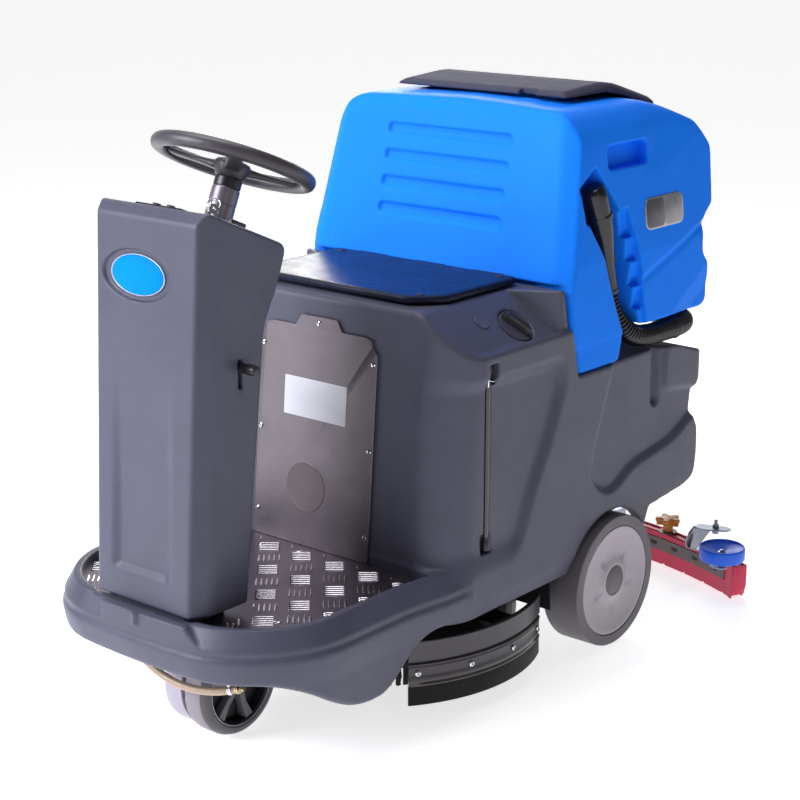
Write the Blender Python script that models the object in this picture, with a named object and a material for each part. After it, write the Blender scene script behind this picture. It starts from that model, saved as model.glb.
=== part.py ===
"""A compact ride-on floor scrubber, built as separate named pieces. Metres, +Z up, front towards -Y.

The machine is drawn from a rear datum plane, which lies DATUM_Y behind the model's origin, so every y value
in this file counts from that plane. The operator's left side is +X.
"""
import bpy
import bmesh
from math import cos, sin, pi, radians
from mathutils import Matrix, Vector

DATUM_Y = 0.67
GAP = 0.0003

# driving dimensions
BODY_HALF = 0.345
DECK_Z = 0.785
LEDGE_Z = 0.604
PLATFORM_TOP = 0.300
PLATE_Z = 0.2790
PLATE_THICK = 0.006
PLATFORM_UNDER = 0.262
SKIRT_EDGE_Z = 0.200
BUMPER_HALF = 0.330
BUMPER_FRONT = -1.440
BUMPER_ARC = 0.210
REAR_AXLE_Y = -0.413
REAR_R = 0.140
REAR_X0 = 0.269
REAR_X1 = 0.359
DRIVE_Y = -1.220
DRIVE_R = 0.100
BRUSH_Y = -0.770
FRAME_Z0 = 0.225
FRAME_Z1 = 0.241
WHEEL_CENTRE = Vector((0.0, -1.145, 1.0635))
TILT = radians(24.0)
SHAFT_DIR = Vector((0.0, sin(TILT), cos(TILT)))
TANK_HALF = 0.337
SQ_FRONT = 0.060
SQ_CURVE = 0.58
SQ_HALF = 0.433
SQ_DEPTH = 0.040
SWING_Y = -0.190
LIFT_PIVOT = Vector((0.0, -0.135, 0.195))
LOWER_SHAFT_Y = -1.300


def clear_scene():
    """Start from an empty file."""
    for thing in list(bpy.data.objects):
        bpy.data.objects.remove(thing, do_unlink=True)


def material(name, colour, roughness, metallic=0.0):
    """A plain Principled material, made once for each name."""
    made = bpy.data.materials.get(name)
    if made is None:
        made = bpy.data.materials.new(name)
        made.use_nodes = True
        shader = made.node_tree.nodes["Principled BSDF"]
        shader.inputs["Base Color"].default_value = (*colour, 1.0)
        shader.inputs["Roughness"].default_value = roughness
        shader.inputs["Metallic"].default_value = metallic
    return made


SLATE = ("slate", (0.085, 0.09, 0.12), 0.5)
BLUE = ("blue", (0.01, 0.19, 0.85), 0.35)
LID_GREY = ("lid_grey", (0.06, 0.065, 0.08), 0.45)
BLACK = ("black", (0.02, 0.02, 0.025), 0.4)
STEEL = ("steel", (0.5, 0.48, 0.49), 0.35, 1.0)
ZINC = ("zinc", (0.6, 0.63, 0.68), 0.35, 1.0)
FRAME = ("frame", (0.03, 0.03, 0.035), 0.5, 0.6)
TYRE = ("tyre", (0.09, 0.085, 0.10), 0.6)
HUB = ("hub", (0.40, 0.37, 0.42), 0.55)
CRIMSON = ("crimson", (0.55, 0.02, 0.07), 0.4)
AMBER = ("amber", (0.62, 0.30, 0.02), 0.4)
ROLLER = ("roller", (0.0, 0.08, 0.55), 0.4)
CLEAR = ("clear", (0.75, 0.78, 0.8), 0.2)
TAN = ("tan", (0.55, 0.40, 0.28), 0.4)
BATTERY = ("battery", (0.05, 0.05, 0.06), 0.5)


def part(name, mesh, finish, pivot=(0.0, 0.0, 0.0)):
    """Name a mesh drawn from the datum plane, with its origin on the pivot."""
    pivot = Vector(pivot)
    mesh.transform(Matrix.Translation(-pivot))
    made = bpy.data.objects.new(name, mesh)
    bpy.context.collection.objects.link(made)
    made.location = pivot + Vector((0.0, DATUM_Y, 0.0))
    mesh.name = name
    mesh.materials.clear()
    mesh.materials.append(material(*finish))
    return made


def to_mesh(shape):
    """Close a bmesh's books: outward faces, then a mesh."""
    bmesh.ops.recalc_face_normals(shape, faces=shape.faces)
    mesh = bpy.data.meshes.new("mesh")
    shape.to_mesh(mesh)
    shape.free()
    return mesh


def loft(sections):
    """A closed solid through rings of equal length, capped at both ends."""
    shape = bmesh.new()
    rings = [[shape.verts.new(p) for p in ring] for ring in sections]
    count = len(rings[0])
    for low, high in zip(rings, rings[1:]):
        for i in range(count):
            j = (i + 1) % count
            shape.faces.new((low[i], low[j], high[j], high[i]))
    shape.faces.new(rings[0])
    shape.faces.new(rings[-1])
    return to_mesh(shape)


def prism(outline, axis, low, high):
    """Extrude a flat outline along X, Y or Z. The outline holds the other two coordinates, in order."""
    def place(point, level):
        a, b = point
        return {"X": (level, a, b), "Y": (a, level, b), "Z": (a, b, level)}[axis]
    return loft([[place(p, low) for p in outline], [place(p, high) for p in outline]])


def box(x0, x1, y0, y1, z0, z1):
    """A plain block."""
    return prism([(x0, y0), (x1, y0), (x1, y1), (x0, y1)], "Z", z0, z1)


def turned(profile, centre, axis="Z", steps=32):
    """Revolve a closed (radius, height) outline about an axis through the centre."""
    shape = bmesh.new()
    rings = []
    for i in range(steps):
        a = 2 * pi * i / steps
        rings.append([shape.verts.new((r * cos(a), r * sin(a), h)) for r, h in profile])
    for i in range(steps):
        here, after = rings[i], rings[(i + 1) % steps]
        for k in range(len(profile)):
            m = (k + 1) % len(profile)
            shape.faces.new((here[k], here[m], after[m], after[k]))
    bmesh.ops.remove_doubles(shape, verts=shape.verts, dist=1e-6)
    mesh = to_mesh(shape)
    mesh.transform(Matrix.Translation(Vector(centre)) @ axis_turn(axis))
    return mesh


def axis_turn(axis):
    """The rotation that takes +Z to the named axis, or to a direction."""
    named = {"X": Vector((1, 0, 0)), "Y": Vector((0, 1, 0)), "Z": Vector((0, 0, 1))}
    toward = named[axis] if isinstance(axis, str) else axis
    return toward.to_track_quat("Z", "Y").to_matrix().to_4x4() if toward.z < 0.999 else Matrix.Identity(4)


def rod(radius, low, high, centre=(0.0, 0.0, 0.0), axis="Z", steps=24):
    """A solid cylinder along an axis through the centre."""
    shape = bmesh.new()
    ends = []
    for level in (low, high):
        ends.append([shape.verts.new((radius * cos(2 * pi * i / steps), radius * sin(2 * pi * i / steps), level))
                     for i in range(steps)])
    for i in range(steps):
        j = (i + 1) % steps
        shape.faces.new((ends[0][i], ends[0][j], ends[1][j], ends[1][i]))
    shape.faces.new(ends[0])
    shape.faces.new(ends[1])
    mesh = to_mesh(shape)
    mesh.transform(Matrix.Translation(Vector(centre)) @ axis_turn(axis))
    return mesh


def tube(outer, inner, low, high, centre, axis="Z", steps=32):
    """A ring or sleeve."""
    return turned([(inner, low), (outer, low), (outer, high), (inner, high)], centre, axis, steps)


def combine(base, tools, operation):
    """Boolean a list of meshes with the base and return the evaluated result."""
    carrier = bpy.data.objects.new("carrier", base)
    bpy.context.collection.objects.link(carrier)
    helpers = []
    for tool in tools:
        helper = bpy.data.objects.new("cutter", tool)
        bpy.context.collection.objects.link(helper)
        helpers.append(helper)
        step = carrier.modifiers.new("step", "BOOLEAN")
        step.operation = operation
        step.solver = "EXACT"
        step.object = helper
    ready = carrier.evaluated_get(bpy.context.evaluated_depsgraph_get())
    mesh = bpy.data.meshes.new_from_object(ready)
    for helper in [carrier] + helpers:
        bpy.data.objects.remove(helper, do_unlink=True)
    return mesh


def cut(base, *tools):
    return combine(base, tools, "DIFFERENCE")


def join(base, *tools):
    return combine(base, tools, "UNION")


def within(base, tool):
    return combine(base, [tool], "INTERSECT")


def mirrored(points):
    """Outline points given for +x, carried round to -x."""
    return points + [(-x, y) for x, y in reversed(points) if abs(x) > 1e-6]


def mirror_mesh(mesh):
    """The same piece on the other side of the machine."""
    other = mesh.copy()
    other.transform(Matrix.Scale(-1, 4, (1, 0, 0)))
    other.flip_normals()
    return other


def bumper_outline(inset, rear_y, steps=7):
    """The platform's plan: a crowned front, round corners and parallel sides."""
    half = BUMPER_HALF - inset
    radius = BUMPER_ARC - inset
    centre_x = BUMPER_HALF - BUMPER_ARC
    centre_y = BUMPER_FRONT + 0.015 + BUMPER_ARC
    points = [(0.0, BUMPER_FRONT + inset), (centre_x * 0.6, BUMPER_FRONT + 0.005 + inset)]
    for i in range(steps + 1):
        a = -pi / 2 + pi / 2 * i / steps
        points.append((centre_x + radius * cos(a), centre_y + radius * sin(a)))
    points.append((half, rear_y))
    return mirrored(points)


def seat_box_outline(half, front_y, rear_y, radius, steps=5):
    """The upper body's plan: large round front corners."""
    points = [(0.0, front_y)]
    for i in range(steps + 1):
        a = -pi / 2 + pi / 2 * i / steps
        points.append((half - radius + radius * cos(a), front_y + radius + radius * sin(a)))
    points.append((half, rear_y - 0.03))
    points.append((half - 0.03, rear_y))
    return mirrored(points)


def wall_y(z):
    """The seat box's front wall, which leans back a little."""
    return -0.9585 + 0.084 * (z - 0.285)


def main_body():
    """The one-piece moulding: platform, bumper, seat box and rear body, open underneath."""
    side = [
        (wall_y(0.20), SKIRT_EDGE_Z), (wall_y(DECK_Z), DECK_Z), (-0.582, DECK_Z), (-0.540, LEDGE_Z),
        (-0.228, LEDGE_Z), (-0.172, 0.597), (-0.064, 0.565), (-0.070, 0.510), (-0.099, 0.482),
        (-0.105, 0.432), (-0.084, 0.399), (-0.082, 0.340), (-0.092, 0.287), (-0.135, 0.274),
        (-0.267, 0.265), (-0.298, SKIRT_EDGE_Z),
    ]
    upper = prism(side, "X", -BODY_HALF, BODY_HALF)
    plan = seat_box_outline(BODY_HALF, -0.965, -0.06, 0.11)
    upper = within(upper, prism(plan, "Z", 0.1, 0.9))
    plateau = prism([(-0.220, -0.545), (0.220, -0.545), (0.220, -0.135), (-0.220, -0.135)], "Z", 0.55, 0.654)
    platform = prism(bumper_outline(0.0, -0.90), "Z", 0.104, PLATFORM_TOP)
    below = [
        (-1.60, 0.05), (-1.60, 0.200), (-1.345, 0.200), (-1.289, 0.175), (-1.232, 0.138), (-1.184, 0.115),
        (-1.134, 0.105), (-1.093, 0.111), (-1.067, 0.130), (-1.045, 0.155), (-1.015, 0.184),
        (-0.985, SKIRT_EDGE_Z), (-0.80, SKIRT_EDGE_Z), (-0.80, 0.05),
    ]
    platform = cut(platform, prism(below, "X", -0.5, 0.5))
    body = join(upper, platform, plateau)

    shoulder = [(0.234, DECK_Z + 0.0001), (0.3301, 0.705), (0.36, 0.680), (0.36, 0.83), (0.234, 0.83)]
    wedge = prism(shoulder, "Y", -1.1, -0.59)
    cavity = [(-0.31, 0.1), (0.31, 0.1), (0.31, 0.665), (0.215, 0.762), (-0.215, 0.762), (-0.31, 0.665)]
    seat_room = within(prism(cavity, "Y", -0.904, -0.605),
                       prism(seat_box_outline(0.33, -0.910, -0.57, 0.10), "Z", 0.05, 0.80))
    rear_room = box(-0.245, 0.245, -0.606, -0.125, 0.1, 0.578)
    rear_top = box(-0.20, 0.20, -0.52, -0.16, 0.57, 0.634)
    battery_door = box(-0.205, 0.205, -0.86, -0.625, 0.7, 0.9)
    plate_room = cut(prism(bumper_outline(0.044, -0.94), "Z", PLATE_Z, 0.35), column_pad(0.012))
    plate_room = cut(plate_room, box(-0.4, 0.4, wall_y(PLATFORM_TOP), -0.9, 0.2, 0.4))
    drive_room = prism(bumper_outline(0.030, -0.95), "Z", 0.05, PLATFORM_UNDER)
    link_room = box(-0.26, 0.26, -1.02, -0.90, 0.05, PLATFORM_UNDER)
    shaft_hole = rod(0.016, 0.2, 0.4, (0.0, LOWER_SHAFT_Y, 0.0))
    body = cut(body, wedge, mirror_mesh(wedge), seat_room, rear_room, rear_top, battery_door)
    body = cut(body, plate_room, drive_room, link_room, shaft_hole)
    arch = rod(REAR_R + 0.012, 0.252, 0.4, (0.0, REAR_AXLE_Y, REAR_R), "X", 32)
    tube_groove = box(0.333, 0.40, -0.842, -0.806, 0.315, 0.695)
    cap_seat = rod(0.037, -0.020, 0.05, (0.30, -0.698, 0.7295), Vector((0.640, 0.0, 0.768)), 24)
    body = cut(body, arch, mirror_mesh(arch), tube_groove, cap_seat)
    part("main_body", body, SLATE)


def column_pad(margin):
    """The column's footprint on the platform."""
    points = [(0.112 + margin, -1.406 - margin), (0.140 + margin, -1.372), (0.140 + margin, -1.279 + margin)]
    return prism(mirrored(points), "Z", 0.1, 0.4)


def column_section(front, rear, front_half, half, z_front, z_rear, inset=0.0):
    """One ring of the column: a flat front with chamfered corners."""
    slope = (z_rear - z_front) / (rear - front)
    points = [
        (front_half - inset, front + inset), (half - inset, front + 0.036 + inset * 0.4),
        (half - inset, rear - 0.012), (half - 0.014 - inset, rear - inset),
    ]
    return [(x, y, z_front + slope * (y - front)) for x, y in mirrored(points)]


COLUMN_LEVELS = [
    (-1.406, -1.279, 0.112, 0.140, 0.303, 0.303),
    (-1.3945, -1.259, 0.115, 0.140, 0.491, 0.491),
    (-1.3810, -1.233, 0.120, 0.141, 0.702, 0.702),
    (-1.3735, -1.223, 0.1235, 0.141, 0.813, 0.813),
    (-1.3665, -1.190, 0.1260, 0.141, 0.931, 0.857),
    (-1.3550, -1.162, 0.1270, 0.141, 1.014, 0.935),
]


def column_cover():
    """The front column's shell, open at the bottom."""
    outer = loft([column_section(*level) for level in COLUMN_LEVELS])
    inner_levels = [(a, b, c, d, e - 0.01 * (i == 0) - 0.006 * (i == 5), f - 0.01 * (i == 0) - 0.006 * (i == 5))
                    for i, (a, b, c, d, e, f) in enumerate(COLUMN_LEVELS)]
    inner = loft([column_section(*level, inset=0.005) for level in inner_levels])
    hole = rod(0.0275, -0.20, 0.0, WHEEL_CENTRE, SHAFT_DIR)
    lever_slot = box(0.130, 0.150, -1.290, -1.274, 0.700, 0.760)
    part("column_cover", cut(outer, inner, hole, lever_slot), SLATE)


def column_fittings():
    """The emblem, the dash panel with its buttons and key, and the lift lever."""
    lean = Vector((0.0, -1.0, 0.0600)).normalized()
    emblem_at = Vector((-0.018, -1.3700, 0.893))
    emblem = rod(0.036, GAP, 0.004, axis="Z", steps=28)
    emblem.transform(Matrix.Diagonal((1.875, 1.0, 1.0, 1.0)))
    emblem.transform(Matrix.Translation(emblem_at) @ lean.to_track_quat("Z", "Y").to_matrix().to_4x4())
    part("column_emblem", emblem, BLUE)

    slope = (0.937 - 1.012) / 0.173
    fall = Vector((0.0, 1.0, slope)).normalized()
    up = Vector((0.0, -slope, 1.0)).normalized()
    turn = Matrix((Vector((1, 0, 0)), fall, up)).transposed().to_4x4()
    dash_at = Vector((0.0, -1.295, 1.012 + slope * (-1.295 + 1.344)))
    dash = Matrix.Translation(dash_at) @ turn
    panel = box(-0.068, 0.050, -0.032, 0.050, GAP, 0.006)
    wells = [rod(0.0083, -0.01, 0.02, (x, 0.0, 0.0), steps=16) for x in (-0.045, -0.009)]
    panel = cut(panel, *wells)
    panel.transform(dash)
    part("dash_panel", panel, BLACK)
    for name, x in (("brush_button", -0.045), ("vacuum_button", -0.009)):
        button = rod(0.008, 0.0063, 0.0125, (x, 0.0, 0.0), steps=16)
        button.transform(dash)
        part(name, button, STEEL, dash @ Vector((x, 0.0, 0.0063)))
    key = join(rod(0.009, GAP, 0.010, (0.085, 0.0, 0.0), steps=16), box(0.077, 0.093, -0.0015, 0.0015, 0.009, 0.028))
    key.transform(dash)
    part("key_switch", key, STEEL, dash @ Vector((0.085, 0.0, 0.0)))

    lever = join(rod(0.0045, 0.118, 0.150, (0.0, -1.282, 0.738), "X", 12),
                 prism([(-1.288, 0.744), (-1.284, 0.731), (-1.247, 0.721), (-1.243, 0.733)], "X", 0.118, 0.126),
                 rod(0.0095, 0.1450, 0.1780, (0.0, -1.282, 0.738), "X", 16))
    part("lift_lever", lever, BLACK, (0.122, -1.247, 0.727))


def steering():
    """The steering wheel, its tilted shaft and collar, and the lower shaft, whose sprocket turns the fork."""
    ring = turned([(0.1376 + 0.0140 * cos(2 * pi * i / 10), 0.0140 * sin(2 * pi * i / 10)) for i in range(10)],
                  (0, 0, 0), steps=40)
    hub = rod(0.030, -0.030, 0.008, steps=20)
    spokes = []
    for k in range(3):
        spoke = box(0.02, 0.132, -0.012, 0.012, -0.010, -0.002)
        spoke.transform(Matrix.Rotation(radians(15 + 120 * k), 4, "Z"))
        spokes.append(spoke)
    wheel = join(ring, hub, *spokes)
    wheel.transform(Matrix.Translation(WHEEL_CENTRE) @ axis_turn(SHAFT_DIR))
    part("steering_wheel", wheel, BLACK, WHEEL_CENTRE)
    shaft = join(rod(0.0255, -0.150, -0.0303, WHEEL_CENTRE, SHAFT_DIR, 24),
                 rod(0.011, -0.362, -0.140, WHEEL_CENTRE, SHAFT_DIR, 16))
    part("steering_shaft", shaft, STEEL, WHEEL_CENTRE)
    lower = join(rod(0.009, 0.2443, 0.700, (0, LOWER_SHAFT_Y, 0), steps=16),
                 rod(0.022, 0.2453, 0.2563, (0, LOWER_SHAFT_Y, 0), steps=20))
    part("lower_shaft", lower, STEEL, (0, LOWER_SHAFT_Y, 0.25))


def drive_unit():
    """The one-legged fork with its geared motor, and the driven wheel."""
    head = rod(0.052, 0.2035, 0.2135, (0, DRIVE_Y, 0), steps=24)
    pin = rod(0.012, 0.21, 0.2563, (0, DRIVE_Y, 0), steps=16)
    sprocket = rod(0.044, 0.2453, 0.2563, (0, DRIVE_Y, 0), steps=28)
    leg = prism([(DRIVE_Y - 0.035, 0.2135), (DRIVE_Y + 0.035, 0.2135), (DRIVE_Y + 0.028, 0.075),
                 (DRIVE_Y - 0.028, 0.075)], "X", -0.0640, -0.0523)
    bridge = box(-0.064, -0.02, DRIVE_Y - 0.030, DRIVE_Y + 0.030, 0.2035, 0.2135)
    part("steering_fork", join(head, pin, sprocket, bridge, leg), FRAME, (0, DRIVE_Y, DRIVE_R))
    motor = turned([(0.0103, -0.052), (0.080, -0.052), (0.094, -0.040), (0.094, -0.004), (0.088, 0.0), (0.0103, 0.0)],
                   (0, DRIVE_Y, DRIVE_R), "X", 40)
    part("drive_motor", motor, HUB, (0, DRIVE_Y, DRIVE_R))
    tyre = turned([(0.072, 0.010), (0.096, 0.010), (DRIVE_R, 0.014), (DRIVE_R, 0.060), (0.096, 0.066), (0.072, 0.066)],
                  (0, DRIVE_Y, DRIVE_R), "X", 48)
    part("drive_tyre", tyre, TYRE, (0, DRIVE_Y, DRIVE_R))
    hub = join(rod(0.0717, 0.012, 0.048, (0, DRIVE_Y, DRIVE_R), "X", 32),
               rod(0.010, -0.048, 0.020, (0, DRIVE_Y, DRIVE_R), "X", 16),
               rod(0.020, 0.03, 0.060, (0, DRIVE_Y, DRIVE_R), "X", 20))
    part("drive_hub", hub, FRAME, (0, DRIVE_Y, DRIVE_R))


def rear_wheels():
    """The rear axle with a tyre and a hub at each end."""
    part("rear_axle", rod(0.0100, -0.345, 0.345, (0, REAR_AXLE_Y, REAR_R), "X", 16), STEEL)
    for side, sign in (("left", 1), ("right", -1)):
        pivot = (sign * 0.314, REAR_AXLE_Y, REAR_R)
        tyre = turned([(0.1083, 0.271), (0.128, REAR_X0), (REAR_R, 0.280), (REAR_R, 0.348), (0.128, REAR_X1),
                       (0.1083, 0.357)], (0, REAR_AXLE_Y, REAR_R), "X", 48)
        hub = turned([(0.0103, 0.275), (0.108, 0.275), (0.108, 0.352), (0.060, 0.355), (0.0103, 0.355)],
                     (0, REAR_AXLE_Y, REAR_R), "X", 40)
        for name, mesh, finish in (("tyre", tyre, TYRE), ("hub", hub, HUB)):
            part("rear_" + name + "_" + side, mesh if sign > 0 else mirror_mesh(mesh), finish, pivot)


def chassis():
    """The welded frame that carries the axle, the drive unit, the brush deck and the squeegee."""
    outline = mirrored([(0.090, -1.380), (0.090, -1.080), (0.238, -1.060), (0.238, -0.140)])
    frame = prism(outline, "Z", FRAME_Z0, FRAME_Z1)
    bracket = prism([(-0.455, FRAME_Z0 + 0.005), (-0.371, FRAME_Z0 + 0.005), (-0.388, 0.112), (-0.438, 0.112)],
                    "X", 0.226, 0.238)
    ring = tube(0.055, 0.020, 0.2138, FRAME_Z0 + 0.004, (0, DRIVE_Y, 0), steps=28)
    tray = box(-0.20, 0.20, -0.900, -0.620, 0.3016, 0.3096)
    risers = [box(*sorted((sign * 0.170, sign * 0.178)), -0.900, -0.620, 0.235, 0.305) for sign in (1, -1)]
    splash_plate = box(-0.222, 0.222, -0.462, -0.458, 0.120, FRAME_Z0 + 0.003)
    frame = join(frame, bracket, mirror_mesh(bracket), ring, tray, splash_plate, *risers)
    frame = cut(frame, box(-0.125, 0.125, -0.935, -0.665, 0.2, 0.3), box(-0.16, 0.16, -0.60, -0.47, 0.2, 0.3),
                rod(0.0085, 0.2, 0.3, (0, -0.640, 0), steps=16),
                box(-0.16, 0.16, -0.36, -0.24, 0.2, 0.3), rod(0.0130, 0.2, 0.3, (0, DRIVE_Y, 0), steps=20),
                rod(0.0103, -0.3, 0.3, (0, REAR_AXLE_Y, REAR_R), "X", 16),
                rod(0.0103, 0.2, 0.3, (0, SWING_Y, 0), steps=16))
    part("chassis_frame", frame, FRAME)


def brush_gear():
    """The brush deck with its motor, disc, side skirts and lift rod."""
    at = (0.0, BRUSH_Y, 0.0)
    shell = turned([(0.018, 0.150), (0.287, 0.150), (0.287, 0.105), (0.295, 0.105), (0.295, 0.160), (0.018, 0.160)],
                   at, steps=48)
    arms = []
    for sign in (1, -1):
        arms.append(box(*sorted((sign * 0.280, sign * 0.3365)), BRUSH_Y - 0.03, BRUSH_Y + 0.03, 0.150, 0.160))
    lift_rod = rod(0.007, 0.155, 0.2450, (0, -0.640, 0), steps=16)
    part("brush_deck", join(shell, lift_rod, *arms), FRAME, (0, BRUSH_Y, 0.16))
    part("brush_motor", rod(0.068, 0.1603, 0.290, at, steps=28), FRAME, (0, BRUSH_Y, 0.16))
    disc = turned([(0.0, 0.032), (0.268, 0.032), (0.255, 0.085), (0.060, 0.092), (0.0175, 0.0925),
                   (0.0175, 0.1600), (0.0, 0.1600)], at, steps=40)
    part("brush_disc", disc, BLACK, (0, BRUSH_Y, 0.09))
    for side, sign in (("left", 1), ("right", -1)):
        skirt = join(arc_strip(0.339, 0.351, 0.085, 0.166), arc_strip(0.341, 0.349, 0.034, 0.090))
        part("skirt_" + side, skirt if sign > 0 else mirror_mesh(skirt), BLACK, (0, BRUSH_Y, 0.16))
    part("deck_lift_actuator", rod(0.019, 0.2453, 0.3013, (0, -0.640, 0), steps=20), FRAME)


def arc_strip(inner, outer, low, high, steps=12):
    """A curved strip of the skirt about the brush's centre, between its two ends."""
    ring = []
    for radius, order in ((outer, 1), (inner, -1)):
        start, end = -radians(38.4), radians(24.0)
        angles = [start + (end - start) * i / steps for i in range(steps + 1)][::order]
        ring += [(radius * cos(a), BRUSH_Y + radius * sin(a)) for a in angles]
    return prism(ring, "Z", low, high)


def squeegee_strip(front_offset, depth, half, low, high, steps=16):
    """A strip that follows the squeegee's sweep, from one end to the other."""
    xs = [half * (2 * i / steps - 1) for i in range(steps + 1)]
    near = [(x, SQ_FRONT - SQ_CURVE * x * x + front_offset) for x in xs]
    far = [(x, y + depth) for x, y in near]
    return prism(near + far[::-1], "Z", low, high)


def squeegee():
    """The swivel, the lifting arm and the squeegee with its blades, straps, knobs and end rollers."""
    swivel = join(rod(0.030, 0.182, FRAME_Z0 - GAP, (0, SWING_Y, 0), steps=20),
                  rod(0.010, 0.2, 0.246, (0, SWING_Y, 0), steps=16),
                  box(-0.022, 0.022, SWING_Y, -0.122, 0.182, 0.208))
    swivel = cut(swivel, rod(0.0063, -0.1, 0.1, LIFT_PIVOT, "X", 16))
    part("squeegee_swivel", swivel, FRAME, (0, SWING_Y, 0.2))
    cheek = prism([(-0.150, 0.182), (-0.150, 0.208), (-0.120, 0.208), (0.045, 0.112), (0.060, 0.0935),
                   (0.030, 0.0935), (-0.120, 0.182)], "X", 0.0223, 0.030)
    feet = [box(*sorted((sign * 0.030, sign * 0.055)), 0.064, 0.092, 0.0803, 0.095) for sign in (1, -1)]
    bridge = box(-0.055, 0.055, 0.020, 0.100, 0.0935, 0.103)
    pivot_pin = rod(0.006, -0.030, 0.030, LIFT_PIVOT, "X", 16)
    spigot_at = (0.0, SQ_FRONT + 0.0185, 0.0)
    arm = join(cheek, mirror_mesh(cheek), bridge, pivot_pin, *feet)
    arm = cut(arm, rod(0.0215, 0.08, 0.12, spigot_at, steps=20))
    part("squeegee_arm", arm, ZINC, LIFT_PIVOT)

    channel = cut(squeegee_strip(0.0070, SQ_DEPTH - 0.0140, 0.420, 0.040, 0.080),
                  rod(0.0090, 0.02, 0.2, spigot_at, steps=20))
    part("squeegee_body", channel, CRIMSON, LIFT_PIVOT)
    part("squeegee_front_blade", squeegee_strip(0.0025, 0.0035, SQ_HALF, 0.003, 0.078), CRIMSON, LIFT_PIVOT)
    part("squeegee_rear_blade", squeegee_strip(SQ_DEPTH - 0.0060, 0.0035, SQ_HALF, 0.003, 0.078), CRIMSON,
         LIFT_PIVOT)
    part("squeegee_front_strap", squeegee_strip(0.0, 0.0015, 0.400, 0.036, 0.066), STEEL, LIFT_PIVOT)
    part("squeegee_rear_strap", squeegee_strip(SQ_DEPTH - 0.0015, 0.0015, 0.400, 0.036, 0.066), STEEL,
         LIFT_PIVOT)
    spigot = tube(0.0205, 0.0165, 0.0803, 0.150, spigot_at, steps=20)
    part("suction_spigot", spigot, BLACK, LIFT_PIVOT)

    for side, sign in (("left", 1), ("right", -1)):
        knob_at = (sign * 0.195, SQ_FRONT - SQ_CURVE * 0.195 ** 2 + 0.018, 0.0)
        lobes = [(0.020 + 0.007 * cos(5 * a)) for a in [2 * pi * i / 30 for i in range(30)]]
        star = [(knob_at[0] + r * cos(2 * pi * i / 30), knob_at[1] + r * sin(2 * pi * i / 30))
                for i, r in enumerate(lobes)]
        knob = join(prism(star, "Z", 0.102, 0.124), rod(0.013, 0.0803, 0.110, knob_at, steps=16))
        part("star_knob_" + side, knob, AMBER, (knob_at[0], knob_at[1], 0.10))
        roller_at = (sign * 0.410, -0.067, 0.0)
        foot = prism([(0.285, -0.012), (0.330, -0.012), (0.396, -0.086), (0.424, -0.078), (0.424, -0.055),
                      (0.345, 0.012), (0.285, 0.012)], "Z", 0.0803, 0.0833)
        riser = prism([(0.287, 0.0803), (0.295, 0.0803), (0.314, 0.1350), (0.304, 0.1385)], "Y", -0.012, 0.010)
        top = prism([(0.304, -0.014), (0.330, -0.020), (0.381, 0.008), (0.380, 0.026), (0.362, 0.030),
                     (0.304, 0.010)], "Z", 0.1345, 0.1385)
        arm_plate = join(foot, riser, top, rod(0.0040, 0.1300, 0.1550, (0.346, 0.012, 0), steps=12))
        arm_plate = cut(arm_plate, rod(0.0065, 0.0, 0.1, (0.410, -0.067, 0), steps=16))
        part("roller_bracket_" + side, arm_plate if sign > 0 else mirror_mesh(arm_plate), ZINC, LIFT_PIVOT)
        roller = join(tube(0.050, 0.006, 0.100, 0.1300, roller_at, steps=32), rod(0.0062, 0.0790, 0.116, roller_at, steps=16))
        part("end_roller_" + side, roller, ROLLER, (roller_at[0], roller_at[1], 0.115))


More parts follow.
